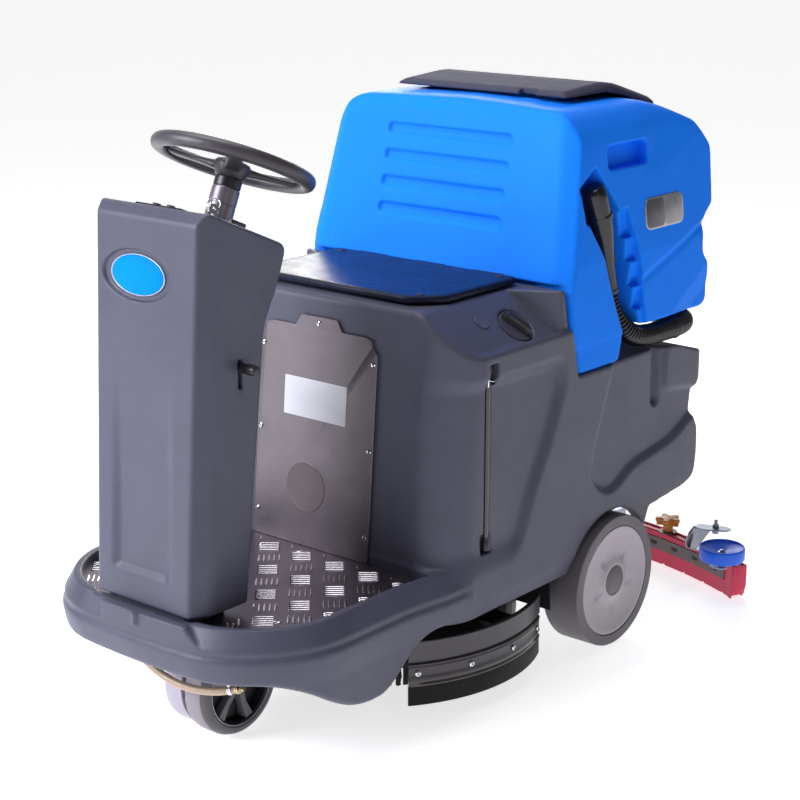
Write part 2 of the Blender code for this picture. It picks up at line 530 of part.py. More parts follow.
def tank():
    """The recovery tank on its plateau, with its lid, blank badge plate and drain fittings."""
    side = [
        (-0.576, 0.7875), (-0.564, 0.806), (-0.521, 1.100), (-0.505, 1.124), (-0.287, 1.125), (-0.229, 1.114),
        (-0.179, 1.099), (-0.106, 1.061), (-0.058, 1.003), (-0.045, 0.882), (-0.074, 0.858), (-0.070, 0.781),
        (-0.045, 0.757), (-0.037, 0.734), (-0.038, 0.665), (-0.060, 0.657), (-0.536, 0.657), (-0.562, 0.7875),
    ]
    front = [(0.337, 0.60), (0.337, 0.82), (0.312, 1.05), (0.300, 1.095), (0.272, 1.13)]
    shell = within(prism(side, "X", -TANK_HALF, TANK_HALF), prism(front + [(-x, z) for x, z in front[::-1]],
                                                                 "Y", -0.7, 0.1))
    leg = prism([(-0.5795, 0.812), (-0.5385, 0.6045), (-0.396, 0.6045), (-0.386, 0.665), (-0.403, 0.70),
                 (-0.428, 0.762), (-0.463, 0.814)], "X", 0.300, 0.3385)
    pocket = prism([(-0.500, 0.985), (-0.450, 1.003), (-0.405, 0.960), (-0.360, 0.900), (-0.330, 0.830),
                    (-0.300, 0.760), (-0.255, 0.640), (-0.400, 0.640), (-0.450, 0.760), (-0.490, 0.880)],
                   "X", 0.269, 0.5)
    shell = cut(shell, pocket)
    shell = join(shell, leg, mirror_mesh(leg))
    room = box(-0.262, 0.262, -0.505, -0.115, 0.675, 1.02)
    neck = box(-0.185, 0.185, -0.405, -0.160, 1.00, 1.20)
    shell = cut(shell, room, neck)
    part("recovery_tank", shell, BLUE)

    lid = [(-0.430, 1.1275), (-0.430, 1.139), (-0.270, 1.151), (-0.106, 1.101), (-0.108, 1.0680), (-0.179, 1.1015),
           (-0.229, 1.1165), (-0.287, 1.1275)]
    part("tank_lid", prism(lid, "X", -0.218, 0.218), LID_GREY, (0, -0.107, 1.0665))
    badge = prism([(-0.307, 0.857), (-0.163, 0.857), (-0.163, 0.924), (-0.307, 0.924)], "X", 0.0, 0.002)
    lean = Matrix.Translation((0.3303, 0.0, 0.890)) @ Matrix.Rotation(-radians(6.2), 4, "Y")
    badge.transform(lean @ Matrix.Translation((0.0, 0.0, -0.890)))
    part("badge_plate", badge, STEEL)
    cuff = turned([(0.0, 0.0), (0.024, 0.0), (0.027, 0.10), (0.031, 0.17), (0.031, 0.225), (0.027, 0.232), (0.0, 0.232)],
                  (0, 0, 0), steps=24)
    toward = Vector((-0.002, -0.085, 0.220)).normalized()
    cuff.transform(Matrix.Translation((0.304, -0.375, 0.735)) @ axis_turn(toward))
    part("drain_cuff", cuff, BLACK)
    elbow = join(rod(0.0235, 0.120, 0.156, (0, -0.068, 0.6295), "X", 20),
                 rod(0.018, 0.62, 0.6567, (0.135, -0.068, 0), steps=20))
    part("drain_port", elbow, BLACK)


def drain_hose():
    """The corrugated drain hose: down from its cuff, back along the ledge and round the rear to the port."""
    route = [(0.3038, -0.3735, 0.7315), (0.3037, -0.368, 0.713), (0.304, -0.355, 0.685), (0.306, -0.330, 0.655),
             (0.309, -0.295, 0.637), (0.312, -0.250, 0.6305), (0.313, -0.200, 0.6295), (0.311, -0.155, 0.6295),
             (0.300, -0.115, 0.6295), (0.276, -0.085, 0.6295), (0.240, -0.071, 0.6295), (0.200, -0.068, 0.6295),
             (0.1563, -0.068, 0.6295)]
    curve = bpy.data.curves.new("drain_hose", "CURVE")
    curve.dimensions = "3D"
    curve.bevel_depth = 0.0235
    curve.bevel_resolution = 3
    curve.use_fill_caps = True
    curve.render_resolution_u = 0
    spline = curve.splines.new("POLY")
    spline.points.add(len(route) - 1)
    for point, place in zip(spline.points, route):
        point.co = (*place, 1.0)
    curve.materials.append(material(*BLACK))
    hose = bpy.data.objects.new("drain_hose", curve)
    bpy.context.collection.objects.link(hose)
    hose.location = (0.0, DATUM_Y, 0.0)


def water_hose():
    """The clear water hose that hangs in front of the drive wheel, between two clips under the platform."""
    route = []
    for i in range(17):
        t = i / 16
        route.append((-0.115 + 0.280 * t, -1.350 + 0.015 * (2 * t - 1) ** 2, 0.1365 + 0.135 * (t - 0.58) ** 2))
    curve = bpy.data.curves.new("water_hose", "CURVE")
    curve.dimensions = "3D"
    curve.bevel_depth = 0.0075
    curve.bevel_resolution = 2
    curve.use_fill_caps = True
    curve.render_resolution_u = 0
    spline = curve.splines.new("POLY")
    spline.points.add(len(route) - 1)
    for point, place in zip(spline.points, route):
        point.co = (*place, 1.0)
    curve.materials.append(material(*TAN))
    hose = bpy.data.objects.new("water_hose", curve)
    bpy.context.collection.objects.link(hose)
    hose.location = (0.0, DATUM_Y, 0.0)


def covers():
    """The tread plate, front access panel, battery lid, level tube and fill cap."""
    plate = prism(bumper_outline(0.0445, -0.9592), "Z", PLATE_Z + GAP, PLATE_Z + PLATE_THICK)
    plate = cut(plate, column_pad(0.0123))
    part("tread_plate", plate, STEEL)
    half = 0.150
    outline = [(half, 0.2860), (half, 0.700), (half - 0.025, 0.719), (0.060, 0.719), (0.045, 0.741)]
    panel = prism(mirrored(outline), "Y", -0.0023, -GAP)
    lean = Matrix(((1, 0, 0, 0), (0, 1, 0.084, wall_y(0.0)), (0, 0, 1, 0), (0, 0, 0, 1)))
    panel.transform(lean)
    part("access_panel", panel, STEEL)
    lid = mirrored([(0.167, -0.883), (0.224, -0.865), (0.234, -0.848), (0.234, -0.600)])
    part("seat_lid", prism(lid, "Z", DECK_Z + GAP, 0.800), BLACK, (0, -0.5935, 0.7925))
    hinge = join(rod(0.005, -0.19, 0.19, (0, -0.5935, 0.7925), "X", 12),
                 box(-0.19, 0.19, -0.5935, -0.5795, DECK_Z + GAP, 0.7885))
    part("seat_lid_hinge", hinge, FRAME)
    part("level_tube", rod(0.0065, 0.322, 0.687, (0.3410, -0.824, 0), steps=12), CLEAR)
    slope = Vector((0.640, 0.0, 0.768))
    cap = join(rod(0.0365, -0.012, 0.0, (0.30, -0.698, 0.7295), slope, 28),
               rod(0.030, -0.002, 0.004, (0.30, -0.698, 0.7295), slope, 24))
    part("fill_cap", cap, BLACK, (0.30, -0.698, 0.7295))


def pedal():
    """The accelerator pedal, hinged at its heel."""
    side = [(-1.040, 0.2880), (-1.040, 0.2960), (-1.150, 0.3400), (-1.154, 0.3320)]
    part("accelerator_pedal", prism(side, "X", -0.225, -0.155), BLACK, (-0.19, -1.045, 0.292))


def machinery():
    """What sits inside the body: batteries, vacuum motor, pump and controller."""
    for side, x0 in (("left", 0.006), ("right", -0.196)):
        part("battery_" + side, box(x0, x0 + 0.190, -0.862, -0.632, 0.3099, 0.530), BATTERY)
    part("vacuum_motor", rod(0.070, 0.300, 0.440, (0, -0.330, 0), steps=28), FRAME)
    part("solution_pump", box(0.120, 0.190, -0.560, -0.470, 0.2413, 0.310), FRAME)
    part("motor_controller", box(-0.10, 0.10, -0.900, -0.882, 0.340, 0.500), FRAME)


clear_scene()
main_body()
column_cover()
column_fittings()
steering()
drive_unit()
rear_wheels()
chassis()
brush_gear()
squeegee()
tank()
drain_hose()
water_hose()
covers()
pedal()
machinery()
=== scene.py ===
"""The looks of the ride-on floor scrubber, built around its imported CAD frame.

Moulded shells are drawn as signed-distance fields on a grid and skinned with surface nets, so their edges and
creases are rounded as on rotomoulded plastic. The other pieces are mesh work. Lengths are in metres, except
inside mm(), where they are in millimetres. The drawing counts y from the rear datum plane that the CAD uses,
DATUM behind the frame's origin.
"""

import bmesh
import bpy
import numpy as np
import random
from math import atan2, ceil, cos, hypot, pi, radians, sin
from mathutils import Matrix, Vector


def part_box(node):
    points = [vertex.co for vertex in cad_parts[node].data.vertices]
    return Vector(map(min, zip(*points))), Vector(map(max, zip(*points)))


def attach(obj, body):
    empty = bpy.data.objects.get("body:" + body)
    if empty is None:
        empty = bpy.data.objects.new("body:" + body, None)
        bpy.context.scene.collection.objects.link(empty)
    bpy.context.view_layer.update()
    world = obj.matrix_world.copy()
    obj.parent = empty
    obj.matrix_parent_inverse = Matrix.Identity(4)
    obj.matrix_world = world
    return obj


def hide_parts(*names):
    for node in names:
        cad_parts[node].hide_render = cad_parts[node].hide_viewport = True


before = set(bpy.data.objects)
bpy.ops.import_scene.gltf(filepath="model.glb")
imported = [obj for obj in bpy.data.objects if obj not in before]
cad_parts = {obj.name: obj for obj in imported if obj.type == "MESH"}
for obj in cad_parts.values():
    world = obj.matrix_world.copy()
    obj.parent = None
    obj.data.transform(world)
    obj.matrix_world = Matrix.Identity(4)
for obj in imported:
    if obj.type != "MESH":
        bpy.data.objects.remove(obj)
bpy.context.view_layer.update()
random.seed(7)


def centre(node):
    """The middle of a CAD node's box."""
    low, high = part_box(node)
    return (low + high) / 2


# driving dimensions, most of them read from the frame
REAR_AXLE = -0.413
DATUM = centre("rear_axle").y - REAR_AXLE
REAR_R = centre("rear_axle").z
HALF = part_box("main_body")[1].x
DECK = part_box("main_body")[1].z
WHEEL_AT = centre("steering_wheel") - Vector((0, DATUM, 0))
TILT = radians(24.0)
SHAFT = Vector((0, sin(TILT), cos(TILT)))
BRUSH_Y = centre("brush_disc").y - DATUM
PLATE_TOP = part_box("tread_plate")[1].z
DRIVE_AT = centre("drive_tyre") - Vector((0, DATUM, 0))
SHIFT = Vector((0, DATUM, 0))


# ---------------------------------------------------------------- fields and their skins
class Grid:
    """Points at an even step inside a box, as three arrays that broadcast together."""

    def __init__(self, low, high, step):
        self.step = step
        axes = [np.arange(a - 2.5 * step, b + 2.5 * step, step, dtype=np.float32) for a, b in zip(low, high)]
        self.start = [axis[0] for axis in axes]
        self.x = axes[0][:, None, None]
        self.y = axes[1][None, :, None]
        self.z = axes[2][None, None, :]
        self.ax = np.abs(self.x)


def mm(*points):
    """Points given in millimetres."""
    return [tuple(value / 1000 for value in point) for point in points]


def rounded(points, radius, steps=4):
    """An outline with its corners turned into arcs. A point may carry its own radius as a third number."""
    out = []
    count = len(points)
    for i, point in enumerate(points):
        here = Vector(point[:2])
        r = point[2] if len(point) > 2 else radius
        back = Vector(points[i - 1][:2]) - here
        on = Vector(points[(i + 1) % count][:2]) - here
        reach = min(r, 0.48 * back.length, 0.48 * on.length)
        if reach < 1e-5:
            out.append(tuple(here))
            continue
        a, b = here + back.normalized() * reach, here + on.normalized() * reach
        for k in range(steps + 1):
            t = k / steps
            out.append(tuple(a * (1 - t) ** 2 + here * 2 * t * (1 - t) + b * t * t))
    return out


def polygon(points, u, v):
    """Signed distance to a closed outline, negative inside."""
    shape = np.broadcast(u, v).shape
    nearest = np.full(shape, 1e6, np.float32)
    inside = np.zeros(shape, bool)
    for (ax, ay), (bx, by) in zip(points, points[1:] + points[:1]):
        ex, ey = bx - ax, by - ay
        wx, wy = u - ax, v - ay
        t = np.clip((wx * ex + wy * ey) / (ex * ex + ey * ey + 1e-12), 0, 1)
        nearest = np.minimum(nearest, (wx - ex * t) ** 2 + (wy - ey * t) ** 2)
        if ay != by:
            inside ^= ((ay > v) != (by > v)) & (u < ex * (v - ay) / ey + ax)
    distance = np.sqrt(nearest)
    return np.where(inside, -distance, distance).astype(np.float32)


def band(points, u, v, width):
    """Signed distance to an open line of the given half width."""
    shape = np.broadcast(u, v).shape
    nearest = np.full(shape, 1e6, np.float32)
    for (ax, ay), (bx, by) in zip(points, points[1:]):
        ex, ey = bx - ax, by - ay
        wx, wy = u - ax, v - ay
        t = np.clip((wx * ex + wy * ey) / (ex * ex + ey * ey), 0, 1)
        nearest = np.minimum(nearest, (wx - ex * t) ** 2 + (wy - ey * t) ** 2)
    return np.sqrt(nearest) - width


def meet(a, b, radius=0.004):
    """What is inside both fields, with a rounded edge."""
    r = max(radius, 1e-5)
    return np.minimum(-r, np.maximum(a, b)) + np.hypot(np.maximum(r + a, 0), np.maximum(r + b, 0))


def add(a, b, radius=0.004):
    """What is inside either field, with a filleted corner."""
    r = max(radius, 1e-5)
    return np.maximum(r, np.minimum(a, b)) - np.hypot(np.maximum(r - a, 0), np.maximum(r - b, 0))


def carve(a, b, radius=0.003):
    """What is inside the first field and outside the second, with a rounded edge."""
    return meet(a, -b, radius)


def ramp(value, low, high):
    """0 below low, 1 above high, smooth between."""
    t = np.clip((value - low) / (high - low), 0, 1)
    return t * t * (3 - 2 * t)


def beyond(value, edge):
    """How far a value is past an edge, 0 before it."""
    return np.maximum(value - edge, 0)


def skin(grid, field):
    """Surface nets: a quad mesh on the field's zero level."""
    inside = field < 0
    cells = [slice(None, -1), slice(1, None)]
    count = np.zeros([n - 1 for n in field.shape], np.uint8)
    corners = [(i, j, k) for i in (0, 1) for j in (0, 1) for k in (0, 1)]
    for i, j, k in corners:
        count += inside[cells[i], cells[j], cells[k]]
    active = np.argwhere((count > 0) & (count < 8))
    values = {c: field[active[:, 0] + c[0], active[:, 1] + c[1], active[:, 2] + c[2]] for c in corners}
    total = np.zeros((len(active), 3))
    hits = np.zeros(len(active))
    for a in corners:
        for axis in range(3):
            if a[axis]:
                continue
            b = tuple(v + (n == axis) for n, v in enumerate(a))
            va, vb = values[a], values[b]
            crosses = (va < 0) != (vb < 0)
            t = np.where(crosses, va / np.where(va == vb, 1, va - vb), 0)
            for n in range(3):
                total[:, n] += crosses * (a[n] + (t if n == axis else 0))
            hits += crosses
    points = (active + total / hits[:, None]) * grid.step + np.array(grid.start)
    index = np.full(count.shape, -1, np.int32)
    index[tuple(active.T)] = np.arange(len(active))
    faces = []
    for axis in range(3):
        n1, n2 = (axis + 1) % 3, (axis + 2) % 3
        low = [slice(1, -1)] * 3
        high = [slice(1, -1)] * 3
        low[axis], high[axis] = slice(None, -1), slice(1, None)
        here = inside[tuple(low)]
        there = inside[tuple(high)]
        edges = np.argwhere(here != there)
        falls = here[tuple(edges.T)]
        edges[:, n1] += 1
        edges[:, n2] += 1
        ring = []
        for d1, d2 in ((0, 0), (1, 0), (1, 1), (0, 1)):
            at = edges.copy()
            at[:, n1] -= d1
            at[:, n2] -= d2
            ring.append(index[tuple(at.T)])
        quads = np.stack(ring, 1)
        quads[~falls] = quads[~falls][:, ::-1]
        faces.append(quads)
    faces = np.concatenate(faces)[:, ::-1]
    mesh = bpy.data.meshes.new("skin")
    mesh.from_pydata(points.tolist(), [], faces.tolist())
    return mesh


# ---------------------------------------------------------------- mesh helpers
def place(name, mesh, body, finish, replaces=(), smooth=35, limit=None):
    """A finished piece: shifted from the datum to the frame, shaded, and riding on its body.

    smooth is the angle above which an edge stays sharp, True for none or False for flat shading."""
    if limit and len(mesh.polygons) > limit:
        mesh = applied(mesh, ("DECIMATE", {"ratio": limit / (2 * len(mesh.polygons))}))
    mesh.transform(Matrix.Translation(SHIFT))
    made = bpy.data.objects.new(name, mesh)
    mesh.name = name
    bpy.context.scene.collection.objects.link(made)
    mesh.materials.clear()
    mesh.materials.append(finish)
    if smooth is True:
        mesh.shade_smooth()
    elif smooth:
        mesh.shade_smooth()
        mesh.set_sharp_from_angle(angle=radians(smooth))
    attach(made, body)
    if replaces:
        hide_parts(*replaces)
    return made


def applied(mesh, *steps):
    """A mesh after the given modifiers, each (type, settings)."""
    carrier = bpy.data.objects.new("carrier", mesh)
    bpy.context.scene.collection.objects.link(carrier)
    for kind, settings in steps:
        modifier = carrier.modifiers.new(kind, kind)
        for key, value in settings.items():
            setattr(modifier, key, value)
    ready = carrier.evaluated_get(bpy.context.evaluated_depsgraph_get())
    result = bpy.data.meshes.new_from_object(ready)
    bpy.data.objects.remove(carrier)
    return result


def bevelled(mesh, width=0.0008, segments=2, angle=35):
    """The mesh with its sharp edges eased."""
    return applied(mesh, ("BEVEL", {"width": width, "segments": segments, "limit_method": "ANGLE",
            "angle_limit": radians(angle), "harden_normals": False}))


def closed(shape):
    """A mesh from a bmesh whose faces are turned outwards."""
    bmesh.ops.recalc_face_normals(shape, faces=shape.faces)
    mesh = bpy.data.meshes.new("mesh")
    shape.to_mesh(mesh)
    shape.free()
    return mesh


def loft(sections):
    """A solid through rings of equal length."""
    shape = bmesh.new()
    rings = [[shape.verts.new(p) for p in ring] for ring in sections]
    count = len(rings[0])
    for low, high in zip(rings, rings[1:]):
        for i in range(count):
            j = (i + 1) % count
            shape.faces.new((low[i], low[j], high[j], high[i]))
    shape.faces.new(rings[0])
    shape.faces.new(rings[-1])
    return closed(shape)


def prism(outline, axis, low, high):
    """An outline extruded along X, Y or Z."""
    def spot(point, level):
        a, b = point
        return {"X": (level, a, b), "Y": (a, level, b), "Z": (a, b, level)}[axis]
    return loft([[spot(p, low) for p in outline], [spot(p, high) for p in outline]])


def block(x0, x1, y0, y1, z0, z1):
    """A box between two corners, to be bevelled or merged."""
    return prism([(x0, y0), (x1, y0), (x1, y1), (x0, y1)], "Z", z0, z1)


def turned(profile, steps=64):
    """A closed (radius, height) outline revolved about +Z."""
    shape = bmesh.new()
    rings = []
    for i in range(steps):
        a = 2 * pi * i / steps
        rings.append([shape.verts.new((r * cos(a), r * sin(a), h)) for r, h in profile])
    for i in range(steps):
        here, after = rings[i], rings[(i + 1) % steps]
        for k in range(len(profile)):
            m = (k + 1) % len(profile)
            shape.faces.new((here[k], here[m], after[m], after[k]))
    bmesh.ops.remove_doubles(shape, verts=shape.verts, dist=1e-6)
    return closed(shape)


def rod(radius, low, high, steps=24):
    """A plain pin about +Z."""
    return turned([(0, low), (radius, low), (radius, high), (0, high)], steps)


def shift(x, y, z):
    """The move by these amounts."""
    return Matrix.Translation((x, y, z))


def spin(angle, axis):
    """The turn about an axis through the origin."""
    return Matrix.Rotation(angle, 4, axis)


def aim(at, toward):
    """The move that takes +Z at the origin to a direction at a place."""
    toward = Vector(toward).normalized()
    turn = toward.to_track_quat("Z", "Y").to_matrix().to_4x4() if toward.z < 0.9999 else Matrix.Identity(4)
    return Matrix.Translation(Vector(at)) @ turn


def moved(mesh, matrix):
    """The mesh itself, moved."""
    mesh.transform(matrix)
    if matrix.determinant() < 0:
        mesh.flip_normals()
    return mesh


def merged(*meshes):
    """Several meshes as one, without joining their surfaces."""
    shape = bmesh.new()
    for mesh in meshes:
        shape.from_mesh(mesh)
    result = bpy.data.meshes.new("merged")
    shape.to_mesh(result)
    shape.free()
    return result


def sided(mesh, sign):
    """A left piece as it is, or mirrored to the machine's right where sign is -1."""
    if sign > 0:
        return mesh
    mesh.transform(Matrix.Scale(-1, 4, (1, 0, 0)))
    mesh.flip_normals()
    return mesh


def sweep(route, ring_at):
    """A tube through a route. ring_at(i, count) gives the cross-section's (radius, angle) points."""
    points = [Vector(p) for p in route]
    sections = []
    side = None
    for i, p in enumerate(points):
        ahead = points[min(i + 1, len(points) - 1)]
        behind = points[max(i - 1, 0)]
        tangent = (ahead - behind).normalized()
        if side is None:
            side = tangent.orthogonal().normalized()
        side = (side - tangent * side.dot(tangent)).normalized()
        other = tangent.cross(side)
        sections.append([p + side * (r * cos(a)) + other * (r * sin(a)) for r, a in ring_at(i, len(points))])
    return loft(sections)


def round_ring(radius, sides):
    """A round cross-section for sweep()."""
    ring = [(radius, 2 * pi * k / sides) for k in range(sides)]
    return lambda i, count: ring


def smooth_route(points, spacing):
    """Points at even spacing on a Catmull-Rom curve through the given ones."""
    pts = [Vector(p) for p in points]
    pts = [pts[0] * 2 - pts[1]] + pts + [pts[-1] * 2 - pts[-2]]
    dense = []
    for p0, p1, p2, p3 in zip(pts, pts[1:], pts[2:], pts[3:]):
        for k in range(24):
            t = k / 24
            dense.append(0.5 * ((2 * p1) + (p2 - p0) * t + (2 * p0 - 5 * p1 + 4 * p2 - p3) * t * t
                                + (3 * p1 - p0 - 3 * p2 + p3) * t ** 3))
    dense.append(pts[-2])
    lengths = [0]
    for a, b in zip(dense, dense[1:]):
        lengths.append(lengths[-1] + (b - a).length)
    count = max(2, ceil(lengths[-1] / spacing))
    route, k = [], 0
    for i in range(count + 1):
        goal = lengths[-1] * i / count
        while k < len(lengths) - 2 and lengths[k + 1] < goal:
            k += 1
        part = (goal - lengths[k]) / max(lengths[k + 1] - lengths[k], 1e-9)
        route.append(dense[k].lerp(dense[k + 1], min(1, part)))
    return route


# ---------------------------------------------------------------- materials
def given(node, values):
    """Constant values on a node's own sockets."""
    for socket, value in values.items():
        node.inputs[socket].default_value = value


def finish(slot, name, colour, rough, metallic=0.0, grain=700.0, bump=0.15, lump=9.0, vary=0.1, wear=0.0,
           coat=0.0, brushed=None, specular=0.5):
    """A Principled material with grain, uneven colour and roughness, and worn edges.

    brushed is the noise scale along x, y and z that draws out a brushed metal's grain, and wear the share of
    lighter colour on its edges."""
    made = bpy.data.materials.new(name)
    made.use_nodes = True
    made["slot"] = slot
    nodes, links = made.node_tree.nodes, made.node_tree.links
    shader = nodes["Principled BSDF"]
    given(shader, {"Metallic": metallic, "Coat Weight": coat, "Coat Roughness": 0.12,
                   "Specular IOR Level": specular})
    where = nodes.new("ShaderNodeTexCoord")
    spot = where.outputs["Object"]

    def noise(scale, detail, rough_amount, stretch=None):
        source = spot
        if stretch:
            scaler = nodes.new("ShaderNodeMapping")
            given(scaler, {"Scale": stretch})
            links.new(spot, scaler.inputs["Vector"])
            source = scaler.outputs["Vector"]
        texture = nodes.new("ShaderNodeTexNoise")
        given(texture, {"Scale": scale, "Detail": detail, "Roughness": rough_amount})
        links.new(source, texture.inputs["Vector"])
        return texture.outputs["Fac"]

    def spread(source, low, high):
        ranged = nodes.new("ShaderNodeMapRange")
        given(ranged, {"From Min": 0.3, "From Max": 0.7, "To Min": low, "To Max": high})
        links.new(source, ranged.inputs["Value"])
        return ranged.outputs["Result"]

    def mixed(factor, first, second):
        mixer = nodes.new("ShaderNodeMix")
        mixer.data_type = "RGBA"
        links.new(factor, mixer.inputs["Factor"])
        for socket, value in ((6, first), (7, second)):
            if isinstance(value, tuple):
                mixer.inputs[socket].default_value = (*value, 1.0)
            else:
                links.new(value, mixer.inputs[socket])
        return mixer.outputs[2]

    patches = noise(lump, 4.0, 0.6)
    dark = tuple(c * (1 - vary) for c in colour)
    light = tuple(min(1.0, c * (1 + vary)) for c in colour)
    base = mixed(spread(patches, 0.0, 1.0), dark, light)
    fine = noise(grain, 3.0, 0.55, brushed)
    if brushed:
        base = mixed(spread(fine, 0.0, 0.35), base, tuple(c * 0.72 for c in colour))
    if wear:
        geometry = nodes.new("ShaderNodeNewGeometry")
        edge = nodes.new("ShaderNodeMapRange")
        given(edge, {"From Min": 0.53, "From Max": 0.62, "To Max": wear})
        links.new(geometry.outputs["Pointiness"], edge.inputs["Value"])
        base = mixed(edge.outputs["Result"], base, tuple(min(1.0, 0.25 + c * 1.2) for c in colour))
    links.new(base, shader.inputs["Base Color"])
    cloudy = noise(lump * 3.0, 5.0, 0.6)
    links.new(spread(cloudy, rough - 0.05, rough + 0.05), shader.inputs["Roughness"])
    if bump:
        bumper = nodes.new("ShaderNodeBump")
        given(bumper, {"Strength": bump, "Distance": 0.0005})
        links.new(fine, bumper.inputs["Height"])
        links.new(bumper.outputs["Normal"], shader.inputs["Normal"])
    return made


SLATE = finish("slate", "slate", (0.076, 0.077, 0.114), 0.42, grain=300, bump=1.0, vary=0.07, wear=0.1,
               specular=0.32)
BLUE = finish("blue", "blue", (0.012, 0.213, 0.97), 0.42, grain=420, bump=0.1, vary=0.03, specular=0.03)
EMBLEM = finish("emblem_blue", "emblem_blue", (0.0, 0.22, 0.86), 0.55, grain=300, bump=0.03, vary=0.05,
                specular=0.04)
LID = finish("lid_grey", "lid_grey", (0.065, 0.063, 0.092), 0.7, grain=600, bump=0.3, vary=0.06, wear=0.08,
             specular=0.04)
BLACK = finish("black_plastic", "black_plastic", (0.016, 0.015, 0.019), 0.34, grain=900, bump=0.15, vary=0.1)
GLOSS = finish("black_plastic", "seat_black", (0.011, 0.013, 0.03), 0.3, grain=1300, bump=0.02, vary=0.1,
               specular=0.12)
GRIP = finish("black_plastic", "grip_black", (0.05, 0.043, 0.053), 0.38, grain=1600, bump=0.35, vary=0.1)
HOSE = finish("hose_black", "hose_black", (0.01, 0.009, 0.011), 0.22, grain=500, bump=0.05, vary=0.15)
STEEL = finish("steel", "steel", (0.195, 0.17, 0.186), 0.5, 1.0, grain=70, bump=0.015, vary=0.05,
               brushed=(22.0, 1.0, 0.6))
SLEEVE = finish("steel", "sleeve", (0.2, 0.175, 0.205), 0.38, 0.6, grain=700, bump=0.08, vary=0.08)
CHROME = finish("steel", "chrome", (0.78, 0.77, 0.78), 0.12, 1.0, grain=300, bump=0.02, vary=0.05)
TREAD = finish("tread_aluminium", "tread_aluminium", (0.2, 0.175, 0.2), 0.34, 1.0, grain=260, bump=0.02,
               vary=0.1)
# the tread bars are the plate's own aluminium painted far lighter: a painted highlight for the light their
# raised tops catch
TREAD_BAR_PAINTED_HIGHLIGHT = finish("tread_aluminium", "tread_bar_painted_highlight", (0.62, 0.58, 0.62), 0.2, 1.0, grain=260, bump=0.03,
                   vary=0.08)
BADGE = finish("badge", "badge", (0.42, 0.42, 0.44), 0.3, 0.7, grain=500, bump=0.04, vary=0.06)
ZINC = finish("zinc", "zinc", (0.34, 0.37, 0.43), 0.4, 0.9, grain=240, bump=0.03, lump=40, vary=0.1)
FRAME = finish("frame_paint", "frame_paint", (0.018, 0.017, 0.019), 0.42, 0.3, grain=900, bump=0.12,
               vary=0.15)
MOTOR = finish("motor_grey", "motor_grey", (0.42, 0.385, 0.46), 0.42, 0.2, grain=700, bump=0.1, vary=0.05)
TYRE = finish("tyre", "tyre", (0.135, 0.124, 0.142), 0.55, grain=900, bump=0.25, vary=0.08)
DARK_TYRE = finish("tyre", "dark_tyre", (0.088, 0.08, 0.094), 0.5, grain=900, bump=0.25, vary=0.08)
TREAD_BAND = finish("tyre", "tread_band", (0.25, 0.225, 0.26), 0.5, grain=900, bump=0.2, vary=0.06)
HUB = finish("hub", "hub", (0.42, 0.375, 0.42), 0.45, grain=600, bump=0.12, vary=0.04, wear=0.1)
SKIRT = finish("skirt_rubber", "skirt_rubber", (0.05, 0.043, 0.05), 0.33, grain=800, bump=0.12, vary=0.1)
FLAP = finish("skirt_rubber", "flap_rubber", (0.009, 0.008, 0.009), 0.55, grain=800, bump=0.2, vary=0.12,
              specular=0.15)
BRISTLE = finish("bristle", "bristle", (0.01, 0.0095, 0.01), 0.6, grain=500, bump=0.4, vary=0.3)
CRIMSON = finish("crimson_paint", "crimson_paint", (0.6, 0.02, 0.06), 0.36, 0.1, grain=900, bump=0.08,
                 wear=0.1)
BLADE = finish("crimson_rubber", "crimson_rubber", (0.68, 0.022, 0.09), 0.4, grain=600, bump=0.12, vary=0.06)
STRAP = finish("steel", "strap", (0.16, 0.13, 0.135), 0.46, 0.6, grain=80, bump=0.1, brushed=(1.0, 1.0, 10.0))
AMBER = finish("amber", "amber", (0.56, 0.2, 0.015), 0.38, grain=500, bump=0.08, vary=0.08)
ROLLER = finish("roller_blue", "roller_blue", (0.0, 0.12, 0.85), 0.42, grain=500, bump=0.06, vary=0.05)
GAUGE = finish("clear_tube", "gauge", (0.022, 0.022, 0.028), 0.25, grain=300, bump=0.02, vary=0.1, coat=0.5)
TAN = finish("tan_hose", "tan_hose", (0.4, 0.28, 0.19), 0.3, grain=200, bump=0.05, vary=0.12, coat=0.3)
BRASS = finish("steel", "brass", (0.5, 0.4, 0.26), 0.3, 1.0, grain=400, bump=0.04, vary=0.08)
CASE = finish("battery", "battery", (0.035, 0.035, 0.04), 0.45, grain=500, bump=0.1, vary=0.1)
EMBLEM_RING = finish("badge", "emblem_ring", (0.45, 0.5, 0.62), 0.3, 0.3, grain=500, bump=0.03, vary=0.05)
LAMP = finish("badge", "lamp", (0.55, 0.6, 0.75), 0.2, grain=300, bump=0.02, vary=0.05, coat=0.4)
BADGE_DARK = finish("badge", "badge_dark", (0.105, 0.1, 0.112), 0.3, 0.3, grain=600, bump=0.04, vary=0.05)
BADGE_LIGHT = finish("badge", "badge_light", (0.3, 0.29, 0.31), 0.3, 0.4, grain=600, bump=0.04, vary=0.05)
LABEL = finish("badge", "label", (0.62, 0.62, 0.66), 0.35, grain=500, bump=0.03, vary=0.03)
SKIRT_GLOSS = finish("skirt_rubber", "skirt_gloss", (0.04, 0.034, 0.04), 0.14, grain=500, bump=0.04, vary=0.1,
                     coat=0.4)
CAP = finish("hub", "hub_cap", (0.125, 0.11, 0.125), 0.5, grain=700, bump=0.15, vary=0.05)


# ---------------------------------------------------------------- camera, light and floor
EYE, AZIMUTH, ELEVATION = Vector((2.36878, -2.84908, 1.57037)), radians(39.87), radians(15.81)
FOCAL_PX, PICTURE_PX, SENSOR_MM = 1885.0, 800.0, 36.0


